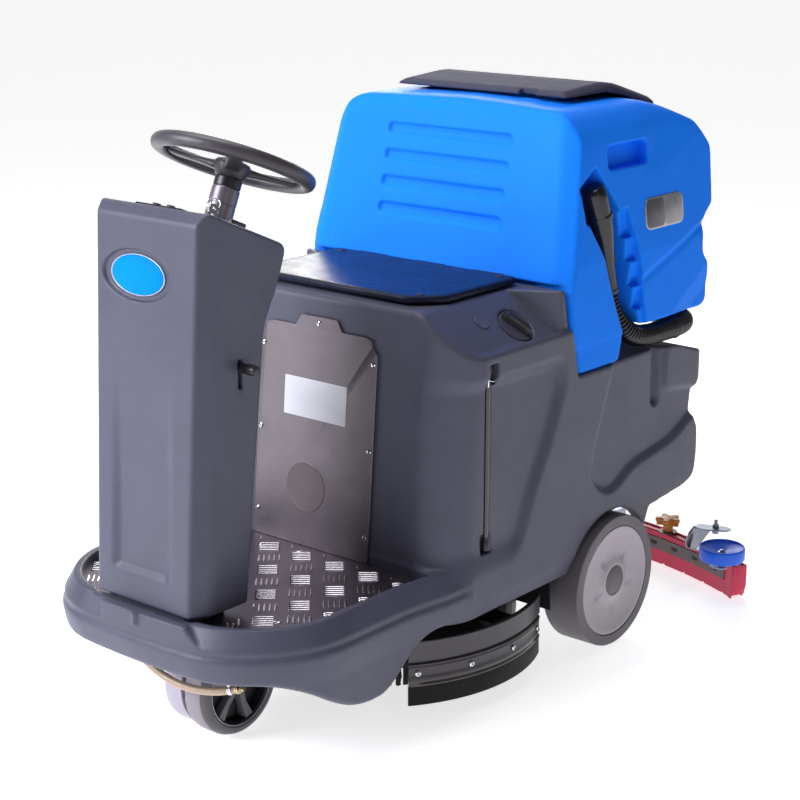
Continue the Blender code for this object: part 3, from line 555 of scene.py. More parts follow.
def camera():
    """The photograph's viewpoint: its place, direction and angle of view."""
    back = Vector((sin(AZIMUTH) * cos(ELEVATION), -cos(AZIMUTH) * cos(ELEVATION), sin(ELEVATION)))
    data = bpy.data.cameras.new("camera")
    data.sensor_width = SENSOR_MM
    data.lens = SENSOR_MM * FOCAL_PX / PICTURE_PX
    made = bpy.data.objects.new("camera", data)
    bpy.context.scene.collection.objects.link(made)
    made.location = EYE
    made.rotation_euler = back.to_track_quat("Z", "Y").to_euler()
    bpy.context.scene.camera = made


def softbox(name, at, toward, size, power, tint=(1, 1, 1)):
    """A rectangular area light at a place, turned towards a point."""
    data = bpy.data.lights.new(name, "AREA")
    data.shape = "RECTANGLE"
    data.size, data.size_y = size
    data.energy = power
    data.color = tint
    made = bpy.data.objects.new(name, data)
    bpy.context.scene.collection.objects.link(made)
    made.location = at
    made.rotation_euler = (Vector(at) - Vector(toward)).to_track_quat("Z", "Y").to_euler()


def studio():
    """Soft light from the front left, a paler wall behind the machine, and a pale floor."""
    softbox("key", (-1.9, -4.0, 2.5), (0, -0.1, 0.5), (2.2, 1.8), 245, (0.9, 0.92, 1.0))
    softbox("side", (3.4, -1.6, 1.7), (0.2, -0.2, 0.5), (0.4, 2.2), 5, (0.95, 0.93, 1.0))
    softbox("top", (-0.4, -0.4, 3.4), (0, 0, 0.5), (2.0, 2.0), 62, (0.95, 0.95, 1.0))
    softbox("back", (-2.2, 3.0, 2.0), (0, 0.2, 0.6), (1.6, 1.4), 45)
    world = bpy.data.worlds.new("studio")
    bpy.context.scene.world = world
    world.use_nodes = True
    nodes, links = world.node_tree.nodes, world.node_tree.links
    toward = nodes.new("ShaderNodeVectorMath")
    toward.operation = "DOT_PRODUCT"
    toward.inputs[1].default_value = (-0.64, 0.768, 0.0)
    links.new(nodes.new("ShaderNodeTexCoord").outputs["Generated"], toward.inputs[0])
    wall = nodes.new("ShaderNodeMapRange")
    wall.interpolation_type = "SMOOTHSTEP"
    given(wall, {"From Min": 0.6, "From Max": 0.9, "To Min": 0.12, "To Max": 1.02})
    links.new(toward.outputs["Value"], wall.inputs["Value"])
    sky = nodes["Background"]
    given(sky, {"Color": (1, 1, 1, 1)})
    links.new(wall.outputs["Result"], sky.inputs["Strength"])
    mesh = block(-60, 60, -60, 60, -0.02, -0.0005)
    floor = bpy.data.objects.new("floor", mesh)
    bpy.context.scene.collection.objects.link(floor)
    pale = finish("badge", "floor", (0.88, 0.88, 0.88), 0.7, grain=200, bump=0.02, vary=0.01, specular=0.2)
    given(pale.node_tree.nodes["Principled BSDF"], {"Emission Color": (1, 1, 1, 1),
            "Emission Strength": 0.72})
    mesh.materials.append(pale)


# ---------------------------------------------------------------- the main body
BUMPER_FRONT, BUMPER_HALF, BUMPER_ARC, BUMPER_CROWN = -1.44, 0.33, 0.195, 0.3
FILL_AXIS = Vector((0.64, 0.0, 0.768)).normalized()
FILL_AT = Vector((0.3, -0.698, 0.7295))


def wall_y(z):
    """The seat box's front wall, which leans back a little."""
    return -0.9585 + 0.084 * (z - 0.285)


def bumper_plan(grid):
    """The platform's plan: a crowned front, round corners, and sides that widen to meet the body."""
    widening = 0.015 * ramp(grid.y, -1.06, -0.92)
    crown = BUMPER_FRONT + BUMPER_CROWN * grid.ax ** 2
    narrow = 0.008 * ramp(-grid.x, 0.0, 0.25) * ramp(-grid.y, 1.0, 1.2)
    return meet(grid.ax - BUMPER_HALF - widening + narrow, crown - grid.y, BUMPER_ARC)


def main_body():
    """The grey moulding: seat box, tank ledge, scoops, bumper, platform well and wheel arches."""
    g = Grid((-0.352, -1.45, 0.096), (0.352, -0.05, 0.8), 0.004)
    # the side wall's half width over (y, z): the leading part is lower, and the rear is scooped out
    lead = polygon(rounded(mm((-590, 660), (-578, 600), (-630, 485), (-684, 390), (-722, 300), (-745, 230),
            (-1000, 230), (-1000, 660)), 0.03), g.y, g.z)
    width = HALF - 0.013 * ramp(-lead, -0.004, 0.03) * ramp(g.z, 0.27, 0.33)
    scoop = polygon(rounded(mm((-410, 640), (-486, 440), (-497, 388), (-478, 350), (-430, 324), (-390, 330),
            (-335, 362), (-180, 384), (-95, 425), (0, 470), (0, 660)), 0.03), g.y, g.z)
    width = width - 0.011 * ramp(-scoop, -0.002, 0.02)
    pad = polygon(rounded(mm((-222, 640), (-222, 512), (-205, 500), (0, 470), (0, 640)), 0.01), g.y, g.z)
    width = width + 0.008 * ramp(-pad, -0.002, 0.012)
    notch = band([(-0.248, 0.66), (-0.246, 0.492)], g.y, g.z, 0.013)
    width = width - 0.014 * ramp(-notch, -0.006, 0.01)
    width = width - 0.006 * ramp(-g.z, -0.232, -0.196)
    # the upper block: its side silhouette, cross-section and plan
    front = [(wall_y(0.2), 0.19), (wall_y(DECK), DECK, 0.018)]
    silhouette = rounded(front + [(-0.582, DECK), (-0.544, 0.6035), (-0.252, 0.6035), (-0.172, 0.597),
            (-0.064, 0.565, 0.01), (-0.07, 0.51), (-0.099, 0.482), (-0.105, 0.432), (-0.082, 0.395, 0.014),
            (-0.08, 0.34), (-0.09, 0.287, 0.02), (-0.135, 0.274), (-0.267, 0.262), (-0.3, 0.19)], 0.006)
    side = polygon(silhouette, g.y, g.z)
    section = polygon(rounded([(-0.5, 0.1), (-0.5, DECK), (0.234, DECK), (0.3295, 0.705, 0.008),
            (0.36, 0.695), (0.36, 0.1)], 0.004), g.ax, g.z)
    gusset = g.y + 0.652 - 0.55 * (g.ax - 0.234)
    full = np.maximum(g.z - DECK, g.ax - 0.334)
    section = np.maximum(np.minimum(section, np.maximum(full, -gusset * 0.8)), g.z - DECK)
    corner = meet(g.ax - width, wall_y(g.z) - g.y, 0.105)
    upper = meet(meet(side, section, 0.01), corner, 0.006)
    upper = meet(upper, meet(g.ax - width, g.y + 0.064, 0.03), 0.004)
    # the bumper and platform
    plan = bumper_plan(g)
    rim = polygon(rounded(mm((-500, 90), (-500, 300), (-30, 300, 6), (-27, 299.5, 3), (-4.5, 264, 4),
            (-7, 256, 3), (0, 246, 10), (-4, 222), (-12, 190), (-24, 90)), 0.004), plan, g.z)
    nose_block = np.maximum(np.maximum(-0.083 - g.x, (g.x - 0.13 - 1.1 * (0.3 - g.z)) * 0.67), g.y + 1.3)
    straight = polygon(rounded(mm((-500, 90), (-500, 300), (-6.5, 300, 6), (-6.5, 255, 6), (0, 246, 16),
            (-4, 222), (-12, 190), (-24, 90)), 0.004), plan, g.z)
    rim = np.minimum(rim, meet(straight, nose_block, 0.004))
    boss = np.maximum(np.hypot(g.x - 0.015, g.y + 1.4325) - 0.0085, np.abs(g.z - 0.288) - 0.0115)
    rim = np.minimum(rim, boss)
    below = polygon(rounded(mm((-1600, 50), (-1600, 200), (-1350, 200, 30), (-1289, 175, 30),
            (-1232, 138, 30), (-1184, 114, 30), (-1134, 104, 30), (-1093, 106, 20), (-1067, 121, 20),
            (-1045, 144, 20), (-1015, 179, 20), (-980, 200, 20), (-700, 200), (-700, 50)), 0.01), g.y, g.z)
    platform = meet(rim, -below, 0.01)
    platform = np.maximum(platform, g.y + 0.88)
    body = add(upper, platform, 0.012)
    # rooms, wells and the plate's recess
    plate = np.maximum(plan + 0.0435, PLATE_TOP - 0.0075 - g.z)
    plate = np.maximum(plate, g.y - (wall_y(0.3) + 0.001))
    column = polygon(mm((-500, -1412), (96, -1412), (106, -1374), (106, -1300), (-500, -1300)), g.ax, g.y)
    body = carve(body, np.maximum(plate, -column), 0.004)
    footing = polygon(mm((-500, -1410.5), (117, -1410.5), (144.5, -1374), (144.5, -1272), (-500, -1272)),
                      g.ax, g.y)
    footing = np.maximum(footing, np.minimum(column, g.y + 1.385) - 0.001)
    body = carve(body, np.maximum(footing, 0.2955 - g.z), 0.003)
    under = np.maximum(np.maximum(plan + 0.03, g.z - 0.262), g.y + 0.93)
    body = np.maximum(body, -under)
    room = np.maximum(np.maximum(corner + 0.026, g.z - 0.57), g.y + 0.11)
    body = np.maximum(body, -room)
    arch = np.maximum(np.hypot(g.y - REAR_AXLE, g.z - REAR_R) - 0.1515, 0.252 - g.ax)
    body = carve(body, arch, 0.005)
    # the level tube's groove and pockets, and the fill cap's well, on the left side only
    groove = np.maximum(np.abs(g.y + 0.8235) - 0.0075, np.abs(g.z - 0.5) - 0.17)
    top_pocket = np.maximum(np.abs(g.y + 0.819) - 0.0135, np.abs(g.z - 0.664) - 0.021)
    low_pocket = np.maximum(np.abs(g.y + 0.8265) - 0.0145, np.abs(g.z - 0.331) - 0.019)
    slots = np.maximum(np.minimum(np.minimum(groove, top_pocket), low_pocket), 0.314 - g.x)
    body = carve(body, slots, 0.0015)
    along = (g.x - FILL_AT.x) * FILL_AXIS.x + (g.z - FILL_AT.z) * FILL_AXIS.z
    across = np.sqrt(np.maximum((g.x - FILL_AT.x) ** 2 + (g.y - FILL_AT.y) ** 2 + (g.z - FILL_AT.z) ** 2
            - along ** 2, 0))
    body = carve(body, np.maximum(across - 0.0385, -0.0145 - along), 0.003)
    place("body_shell", skin(g, body), "chassis", SLATE, ["main_body"], smooth=True, limit=125000)


# ---------------------------------------------------------------- the front column
DASH_FALL = (0.935 - 1.015) / (-1.161 + 1.345)
DASH = Matrix((Vector((1, 0, 0)), Vector((0, 1, DASH_FALL)).normalized(),
               Vector((0, -DASH_FALL, 1)).normalized())).transposed().to_4x4()
DASH = shift(0, -1.295, 1.015 + DASH_FALL * (-1.295 + 1.345)) @ DASH
EMBLEM_AT = centre("column_emblem") - SHIFT
FRONT_LEAN = 0.0607


def front_plane(z):
    """Where the column's leaning front face stands at a height."""
    return -1.406 + FRONT_LEAN * (z - 0.303)


def column_cover():
    """The tapered column with chamfered corners, a dished badge seat and a shallow panel in its front."""
    g = Grid((-0.144, -1.41, 0.3), (0.15, -1.152, 1.02), 0.0026)
    off = np.abs(g.x - 0.004)
    front = front_plane(g.z)
    panel = ramp(0.07 - g.ax, -0.01, 0.012) * ramp(g.z, 0.35, 0.372) * ramp(-g.z, -0.8, -0.42)
    oval = (np.hypot((g.x - EMBLEM_AT.x) / 0.0877, (g.z - EMBLEM_AT.z) / 0.0465) - 1) * 0.055
    dish = ramp(-oval, 0.0, 0.0032)
    dent = (0.009 * panel + 0.0068 * dish) * ramp(-g.y, 1.322, 1.36)
    outline = rounded(mm((-1406, 303), (-1364, 995, 6), (-1345, 1015, 10), (-1161, 935, 20),
                         (-1190.5, 857, 30), (-1223, 803, 30), (-1233, 702, 20), (-1259, 491, 20),
                         (-1279, 303)), 0.004)
    side = polygon(outline, g.y - dent, g.z)
    face_half = 0.1165 + 0.011 * (g.z - 0.303)
    run, rise = 0.04, 0.1405 - face_half
    chamfer = ((off - face_half) * run - (g.y - front) * rise) / np.hypot(run, rise)
    body = meet(meet(side, chamfer, 0.005), off - 0.1405, 0.006)
    along = (g.y - WHEEL_AT.y) * SHAFT.y + (g.z - WHEEL_AT.z) * SHAFT.z
    across = np.sqrt(np.maximum(g.x ** 2 + (g.y - WHEEL_AT.y) ** 2 + (g.z - WHEEL_AT.z) ** 2 - along ** 2, 0))
    body = carve(body, np.maximum(across - 0.029, -0.19 - along), 0.004)
    slot = np.maximum(np.maximum(np.abs(g.y + 1.2845) - 0.005, np.abs(g.z - 0.727) - 0.026), 0.122 - g.x)
    body = carve(body, slot, 0.0015)
    place("column_shell", skin(g, body), "chassis", SLATE, ["column_cover"], smooth=True, limit=70000)


def emblem():
    """A blank oval badge in the dish, in a thin pale ring."""
    lean = Vector((0, -1, FRONT_LEAN))
    seat = aim((EMBLEM_AT.x, front_plane(EMBLEM_AT.z) + 0.0064, EMBLEM_AT.z), lean)
    oval = Matrix.Diagonal((1.875, 1, 1, 1))
    face = turned(mm((0, 0), (34.5, 0), (34.5, 2.2), (33.5, 3.2), (20, 4.2), (0, 4.6)), 72)
    place("emblem_face", moved(face, seat @ oval), "chassis", EMBLEM, ["column_emblem"], smooth=True)
    ring = turned(mm((34.7, 0), (36.2, 0), (36.2, 2.4), (35.6, 3), (34.7, 2.6)), 72)
    place("emblem_ring", moved(ring, seat @ oval), "chassis", EMBLEM_RING, smooth=True)


def pill(half_x, half_y, height, edge, radius, steps=6):
    """A flat plate with rounded corners and an eased top edge."""
    def ring(inset, z):
        r = max(radius - inset, 0.0002)
        a, b = half_x - inset, half_y - inset
        points = []
        for cx, cy, start in ((a - r, b - r, 0), (r - a, b - r, 1), (r - a, r - b, 2), (a - r, r - b, 3)):
            for k in range(steps + 1):
                t = (start + k / steps) * pi / 2
                points.append((cx + r * cos(t), cy + r * sin(t), z))
        return points
    return loft([ring(0, 0), ring(0, height - edge), ring(edge * 0.3, height - edge * 0.3),
                 ring(edge, height)])


def screw(radius):
    """A pan-head screw, and a dark cross laid on its head as painted shade for its cross recess."""
    height = 0.0026
    head = turned([(0, 0), (radius, 0), (radius, height * 0.45), (radius * 0.75, height * 0.9),
                   (radius * 0.3, height), (0, height)], 24)
    # the recess is not cut: dark blocks standing just above the dome paint its shade
    arms = [moved(block(-radius * 0.62, radius * 0.62, -radius * 0.13, radius * 0.13, height * 0.9,
                        height * 1.04), spin(turn, "Z")) for turn in (0.5, 0.5 + pi / 2)]
    return head, merged(*arms)


def screws(name, body, spots, radius):
    """Screws at (place, direction) pairs, and the dark crosses on them that paint the shade of their
    recesses.
    """
    heads, recess_shades = [], []
    for at, toward in spots:
        head, recess_shade = screw(radius)
        heads.append(moved(head, aim(at, toward)))
        recess_shades.append(moved(recess_shade, aim(at, toward)))
    place(name, merged(*heads), body, CHROME, smooth=40)
    place(name + "_recess_shade", merged(*recess_shades), body, FRAME, smooth=False)


def dash():
    """The switch panel on the column's top, with two buttons, lamps, marks, the key, and a clip."""
    plate = moved(pill(0.059, 0.041, 0.005, 0.0015, 0.006), DASH @ shift(-0.009, 0.009, 0))
    place("dash_plate", plate, "chassis", GLOSS, ["dash_panel"])
    spots = [-0.045, -0.009]
    for name, x in zip(("brush_button", "vacuum_button"), spots):
        cap = turned(mm((0, 4), (7.8, 4), (7.8, 10.8), (6.8, 12.2), (4, 11.7), (0, 11.4)), 32)
        place(name + "_cap", moved(cap, DASH @ shift(x, 0, 0)), name, GRIP, [name], smooth=40)
    bezels = []
    for x in spots:
        ring = turned(mm((8.3, 4.5), (11.8, 4.5), (11.3, 7.8), (9.8, 8.8), (8.3, 7.8)), 32)
        bezels.append(moved(ring, DASH @ shift(x, 0, 0)))
    lamps = []
    for x, y, r, lamp in ((0.029, 0.0, 0.006, 0.0038), (0.029, 0.026, 0.0045, 0.0028),
                          (-0.009, 0.03, 0.0045, 0.0028), (-0.045, 0.03, 0.0045, 0.0028)):
        at = DASH @ shift(x, y, 0)
        ring = turned([(r * 0.62, 0.0045), (r, 0.0045), (r, 0.0062), (r * 0.8, 0.0072), (r * 0.62, 0.0064)],
                      24)
        bezels.append(moved(ring, at))
        lens = turned([(0, 0.004), (lamp, 0.004), (lamp, 0.006), (lamp * 0.5, 0.007), (0, 0.0072)], 16)
        lamps.append(moved(lens, at))
    place("dash_bezels", merged(*bezels), "chassis", CHROME, smooth=40)
    place("dash_lamps", merged(*lamps), "chassis", LAMP, smooth=40)
    marks = [moved(pill(0.01, 0.0014, 0.0056, 0.0003, 0.0012, 3), DASH @ shift(x, -0.02, 0))
             for x in (-0.045, -0.009, 0.029)]
    place("dash_marks", merged(*marks), "chassis", BADGE, smooth=40)
    # the key: a lock ring, a bow with a hole, and a ring with a spare key hanging on it
    at = DASH @ shift(0.085, 0, 0)
    lock = turned(mm((0, 0), (10.5, 0), (10, 6), (8.5, 7.5), (0, 7.5)), 32)
    place("key_lock", moved(lock, at), "key_switch", CHROME, ["key_switch"], smooth=40)
    blade = block(-0.0035, 0.0035, -0.001, 0.001, 0.006, 0.014)
    bow = moved(turned(mm((4, -1.1), (9.5, -1.1), (9.5, 1.1), (4, 1.1)), 24), shift(0, 0, 0.0205)
                @ spin(pi / 2, "X"))
    loop = moved(ring_mesh(0.0115, 0.0009), shift(0.004, 0, 0.027) @ spin(0.9, "X") @ spin(0.6, "Y"))
    spare = moved(merged(turned(mm((3, -1.1), (9, -1.1), (9, 1.1), (3, 1.1)), 24),
                         block(-0.003, 0.003, -0.028, -0.008, -0.001, 0.001), block(-0.0045, -0.0028, -0.026,
            -0.018, -0.001, 0.001)), shift(0.012, -0.004, 0.018) @ spin(0.9, "X") @ spin(1.0, "Y"))
    bunch = bevelled(merged(blade, bow, loop, spare), 0.0003, 1)
    place("key_bunch", moved(bunch, at), "key_switch", CHROME, smooth=40)
    clip = [block(0.045, 0.085, y, y + 0.006, 0.0, 0.011 - 0.002 * k)
            for k, y in enumerate((0.058, 0.068, 0.078))]
    clip.append(block(0.079, 0.09, 0.052, 0.09, 0.0, 0.015))
    clip = bevelled(merged(*clip), 0.0012, 2)
    place("column_clip", moved(clip, DASH), "chassis", GRIP, smooth=40)


def ring_mesh(radius, thickness, steps=48, sides=12):
    """A torus about +Z."""
    profile = [(radius + thickness * cos(2 * pi * k / sides), thickness * sin(2 * pi * k / sides))
               for k in range(sides)]
    return turned(profile, steps)


def lever():
    """The deck's lift lever: an arm inside the column, its pin through the slot and a barrel knob outside."""
    y, z = -1.282, 0.738
    arm = bevelled(prism(mm((-1288, 744), (-1284, 731), (-1247, 721), (-1243, 733)), "X", 0.118, 0.126))
    pin = moved(rod(0.0044, 0.118, 0.15, 20), along_x((0, y, z)))
    place("lever_arm", merged(arm, pin), "lift_lever", FRAME, ["lift_lever"], smooth=40)
    knob = turned(mm((0, 146), (8, 146), (9.2, 147), (8.6, 149), (8.2, 151), (9.4, 156), (10, 166), (10, 176),
                     (8.8, 179.5), (5, 181.2), (0, 181.5)), 40)
    place("lever_knob", moved(knob, along_x((0, y, z))), "lift_lever", BLACK, smooth=40)


def steering():
    """The wheel with its dished hub and three flared spokes, and the telescoping sleeve below it."""
    frame_turn = Matrix.Translation(WHEEL_AT) @ Vector(SHAFT).to_track_quat("Z", "Y").to_matrix().to_4x4()
    rim = [(0.1376 + (0.014 + 0.0009 * (sin(a) < -0.6)) * cos(a), 0.014 * sin(a))
           for a in [2 * pi * k / 28 for k in range(28)]]
    ring = turned(rim, 128)
    seam = turned(mm((123.6, -0.8), (124.5, -1.6), (124.5, 1.6), (123.6, 0.8)), 96)
    hub = turned(mm((0, 3.5), (22, 3), (30, 0.5), (33.5, -4), (33, -10), (27.5, -26), (24, -30), (0, -30)),
                 48)
    cap = turned(mm((0, 7), (16, 6.2), (20, 4.2), (20.5, 2), (0, 2)), 40)
    spokes = []
    for k in range(3):
        turn = spin(radians(15 + 120 * k), "Z")
        sections = []
        for r, half, top, low in ((0.018, 0.019, -0.004, -0.022), (0.04, 0.0155, -0.0045, -0.017),
                (0.07, 0.0135, -0.0035, -0.0125), (0.1, 0.0165, -0.001, -0.0095),
                (0.118, 0.0245, 0.001, -0.008), (0.131, 0.034, 0.002, -0.007)):
            lip = 0.003
            sections.append([(r, -half, low + lip), (r, -half, top), (r, -half + lip, top + 0.002),
                             (r, -half * 0.45, top - 0.0015), (r, half * 0.45, top - 0.0015),
                             (r, half - lip, top + 0.002), (r, half, top), (r, half, low + lip),
                             (r, half * 0.6, low), (r, -half * 0.6, low)])
        spoke = applied(loft(sections), ("SUBSURF", {"levels": 2, "render_levels": 2}))
        spokes.append(moved(spoke, turn))
    wheel = moved(merged(ring, hub, *spokes), frame_turn)
    place("wheel_ring", wheel, "steering", GRIP, ["steering_wheel"], smooth=50)
    place("wheel_cap", moved(merged(cap, seam), frame_turn), "steering", BLACK, smooth=40)
    sleeve = turned(mm((0, -152), (25.5, -152), (25.5, -80), (24.7, -79.2), (24.7, -77.6), (25.5, -76.8),
                       (25.5, -50), (23.2, -47), (22.2, -44), (22.2, -31), (0, -31)), 64)
    stem = turned(mm((0, -360), (11, -360), (11, -151), (0, -151)), 24)
    place("sleeve", moved(merged(sleeve, stem), frame_turn), "steering", SLEEVE, ["steering_shaft"])
    collar = turned(mm((22.4, -47), (25, -46.2), (25, -31.2), (22.4, -30.6)), 48)
    place("sleeve_collar", moved(collar, frame_turn), "steering", BLACK)


# ---------------------------------------------------------------- the recovery tank
TANK_HALF = 0.3385
LEAN_FROM, LEAN = 0.82, 0.112
CHAMFER_X, CHAMFER_Y = 0.0345, 0.0215


def tank_side(y, z):
    """The tank's half width over its side, with its folds."""
    width = TANK_HALF - LEAN * np.maximum(z - LEAN_FROM, 0)
    groove = band(mm((-20, 868), (-80, 843), (-199, 798), (-318, 757)), y, z, 0.0)
    width = width - 0.0065 * (1 - ramp(groove, 0.0, 0.0135)) * ramp(y, -0.345, -0.29)
    below = polygon(mm((100, 915), (-80, 843), (-199, 798), (-318, 757), (-318, 500), (100, 500)), y, z)
    width = width - 0.004 * ramp(-below, 0.0, 0.012) * ramp(y, -0.345, -0.29)
    shoulder = polygon(mm((50, 1075), (-127, 1016), (-185, 987), (-300, 968), (-300, 1300), (50, 1300)), y, z)
    width = width - 0.1 * np.clip(-shoulder, 0, 0.12)
    heel = polygon(mm((100, 850), (-41, 766), (-164, 689), (-245, 648), (-245, 400), (100, 400)), y, z)
    return width - 0.2 * np.clip(-heel, 0, 0.05)


def recovery_tank():
    """The blue tank: leaning front with four slots, grip, drain pocket, creased sides and the legs."""
    g = Grid((-0.342, -0.584, 0.6), (0.342, -0.03, 1.13), 0.0036)
    width = tank_side(g.y, g.z)
    outline = rounded(mm((-565, 786), (-586.8, 788.5, 4), (-518.2, 1098.5, 22), (-497, 1124.5, 20),
                         (-287, 1126.8), (-229, 1114.5), (-179, 1099), (-86, 1060), (-33, 1004, 15),
                         (-40, 882), (-76, 855), (-73, 781), (-46, 752, 20), (-38, 720), (-38, 668),
                         (-58, 657), (-300, 663), (-360, 657), (-565, 657)), 0.01)
    slots = 0
    for k in range(4):
        middle = 1.05 - 0.0535 * k
        bar = np.hypot(beyond(g.ax, 0.15), beyond(np.abs(g.z - middle), 0.003)) - 0.0085
        slots = slots + ramp(-bar, -0.0015, 0.004)
    side = polygon(outline, g.y - 0.0075 * slots * ramp(-g.y, 0.43, 0.49), g.z)
    arch = polygon(rounded(mm((-500, 500), (500, 500), (500, 820), (340, 900), (315, 1060, 40),
            (268, 1112.5, 40), (0, 1128.5, 400), (-500, 1128.5)), 0.01, 8), g.ax, g.z)
    face = -0.585 + 0.2235 * (g.z - 0.8)
    chamfer = ((g.ax - width + CHAMFER_X) * CHAMFER_Y
               - (g.y - face) * CHAMFER_X) / hypot(CHAMFER_Y, CHAMFER_X)
    shell = meet(meet(meet(side, arch, 0.012), g.ax - width, 0.008), chamfer, 0.006)
    leg = polygon(rounded(mm((-579, 812), (-538, 604.5, 12), (-396, 604.5, 12), (-384, 650, 20),
            (-386, 668, 20), (-403, 700, 20), (-428, 762, 20), (-455, 830), (-500, 900), (-560, 860)), 0.006),
                  g.y, g.z)
    leg = meet(meet(leg, meet(g.ax - width, 0.3 - g.ax, 0.006), 0.006), chamfer, 0.006)
    # the pocket for the drain cuff, with its stepped ribs, on the left side
    pocket = polygon(rounded(mm((-464, 1005), (-523, 972), (-503, 872), (-455, 800), (-420, 735), (-370, 640),
            (-290, 640), (-330, 735), (-345, 800), (-372, 875), (-400, 925), (-436, 968)), 0.006), g.y, g.z)
    shell = carve(shell, np.maximum(pocket, 0.268 - g.x), 0.004)
    shelf = polygon(rounded(mm((-335, 640), (-355, 720), (-372, 800), (-410, 900), (-365, 915), (-335, 840),
            (-312, 760), (-285, 640)), 0.006), g.y, g.z)
    fall = np.clip((0.905 - g.z) / 0.052, 0, 4)
    shell = carve(shell, np.maximum(shelf, (width - 0.01 - 0.017 * (fall - np.floor(fall))) - g.x), 0.0015)
    grip = np.hypot(beyond(np.abs(g.y + 0.35), 0.06), beyond(np.abs(g.z - 1.017), 0.011)) - 0.013
    shell = carve(shell, np.maximum(grip, width - 0.03 - g.ax), 0.003)
    shell = add(shell, leg, 0.004)
    neck = np.maximum(np.maximum(g.ax - 0.19, np.abs(g.y + 0.28) - 0.118), 1.0 - g.z)
    shell = np.maximum(shell, -neck)
    place("tank_shell", skin(g, shell), "chassis", BLUE, ["recovery_tank"], smooth=True, limit=110000)


def lid_top(y):
    """The height of the lid's crowned top along its length."""
    return np.where(y < -0.27, 1.14 + (y + 0.418) * 0.071, 1.1505 - (y + 0.27) * 0.294)


def tank_lid():
    """The dark lid: a crowned top, bevelled edges and a finger notch in its front."""
    g = Grid((-0.222, -0.436, 1.06), (0.222, -0.098, 1.155), 0.0025)
    outline = rounded(mm((-430, 1127.5), (-429.5, 1135, 6), (-418, 1140, 6), (-270, 1150.5, 50),
                         (-112, 1104, 8), (-107.5, 1096), (-108.5, 1070), (-179, 1103), (-229, 1118),
                         (-287, 1128.5)), 0.003)
    side = polygon(outline, g.y, g.z)
    edge = meet(g.ax - 0.218, (g.ax - 0.204) * 0.6 + (g.z - lid_top(g.y)) * 0.8, 0.003)
    notch = np.maximum(np.abs(g.x - 0.12) - 0.02, g.y + 0.415)
    lid = carve(meet(side, edge, 0.003), notch, 0.003)
    place("lid_cover", skin(g, lid), "tank_lid", LID, ["tank_lid"], smooth=True, limit=40000)


def badge():
    """The blank two-tone plate on the tank's left side."""
    lean = atan2(LEAN, 1.0)
    middle_z, middle_y = 0.8905, -0.2335
    out = TANK_HALF - LEAN * (middle_z - LEAN_FROM)
    seat = (shift(out, middle_y, middle_z) @ spin(-lean, "Y") @ spin(pi / 2, "Y") @ spin(pi / 2, "Z"))
    place("badge_plate_face", moved(pill(0.0715, 0.0325, 0.002, 0.0006, 0.0175), seat), "chassis", BADGE,
          ["badge_plate"])
    left = moved(pill(0.0335, 0.0292, 0.0024, 0.0002, 0.012), seat @ shift(-0.0345, 0, 0))
    right = moved(pill(0.035, 0.0292, 0.00235, 0.0002, 0.015), seat @ shift(0.033, 0, 0))
    place("badge_dark", left, "chassis", BADGE_DARK)
    place("badge_light", right, "chassis", BADGE_LIGHT)


def drain():
    """The hose's flattened cuff in its pocket, the corrugated hose on the deck and the port it ends in."""
    seat = aim((0.306, -0.3815, 0.75), (-0.002, -0.083, 0.222))
    sections = []
    for h, rx, ry in ((0.0, 0.0125, 0.0125), (0.02, 0.013, 0.013), (0.06, 0.0165, 0.0165),
                      (0.1, 0.0235, 0.0225), (0.135, 0.0285, 0.0255), (0.16, 0.0295, 0.0265),
                      (0.1615, 0.0325, 0.029), (0.1655, 0.033, 0.0295), (0.1695, 0.0325, 0.029),
                      (0.171, 0.0295, 0.0265), (0.205, 0.0295, 0.0262), (0.218, 0.0282, 0.025),
                      (0.226, 0.025, 0.0222), (0.23, 0.019, 0.017), (0.2315, 0.008, 0.007)):
        sections.append([(rx * cos(2 * pi * k / 40), ry * sin(2 * pi * k / 40), h) for k in range(40)])
    place("cuff", moved(loft(sections), seat), "chassis", HOSE, ["drain_cuff"])
    clip = moved(bevelled(block(-0.006, 0.006, 0.012, 0.026, 0.048, 0.068), 0.002, 2), seat)
    place("cuff_clip", clip, "chassis", BLACK, smooth=40)
    points = mm((305, -381, 748.5), (304, -371, 718), (304, -356, 686), (306, -330, 655), (310, -295, 636),
                (314, -250, 629.5), (317, -200, 629.5), (317, -150, 629.5), (309, -108, 629.5),
                (284, -76, 629.5), (244, -65, 629.5), (200, -66.5, 629.5), (156.3, -68, 629.5))
    route = smooth_route(points, 0.0011)
    pitch = 8

    def ribbed(i, count):
        share = i / count
        body = 0.0118 + 0.0112 * float(ramp(np.float64(share), 0.02, 0.22))
        rib = (0.5 - 0.5 * cos(2 * pi * (i % pitch) / pitch)) ** 1.6
        joint = 0.0016 if abs(share - 0.55) < 0.012 else 0.0
        r = body - 0.0036 * rib + joint
        return [(r, 2 * pi * k / 28) for k in range(28)]
    place("drain_tube", sweep(route, ribbed), "chassis", HOSE, ["drain_hose"], smooth=60)
    clamp = moved(turned(mm((12.5, -4), (14.2, -4), (14.2, 4), (12.5, 4)), 32), aim((0.3045, -0.379, 0.744),
            (0, -0.3, 1)))
    place("cuff_clamp", clamp, "chassis", BLACK, smooth=40)
    elbow = turned(mm((0, 120), (21, 120), (23.5, 122.5), (23.5, 150), (22.5, 156), (0, 156)), 40)
    elbow = moved(elbow, shift(0, -0.068, 0.6295) @ spin(pi / 2, "Y"))
    riser = moved(turned(mm((0, 620), (18, 620), (18, 650), (18.5, 656.7), (0, 656.7)), 32),
                  shift(0.135, -0.068, 0))
    place("drain_elbow", merged(elbow, riser), "chassis", HOSE, ["drain_port"], smooth=40)


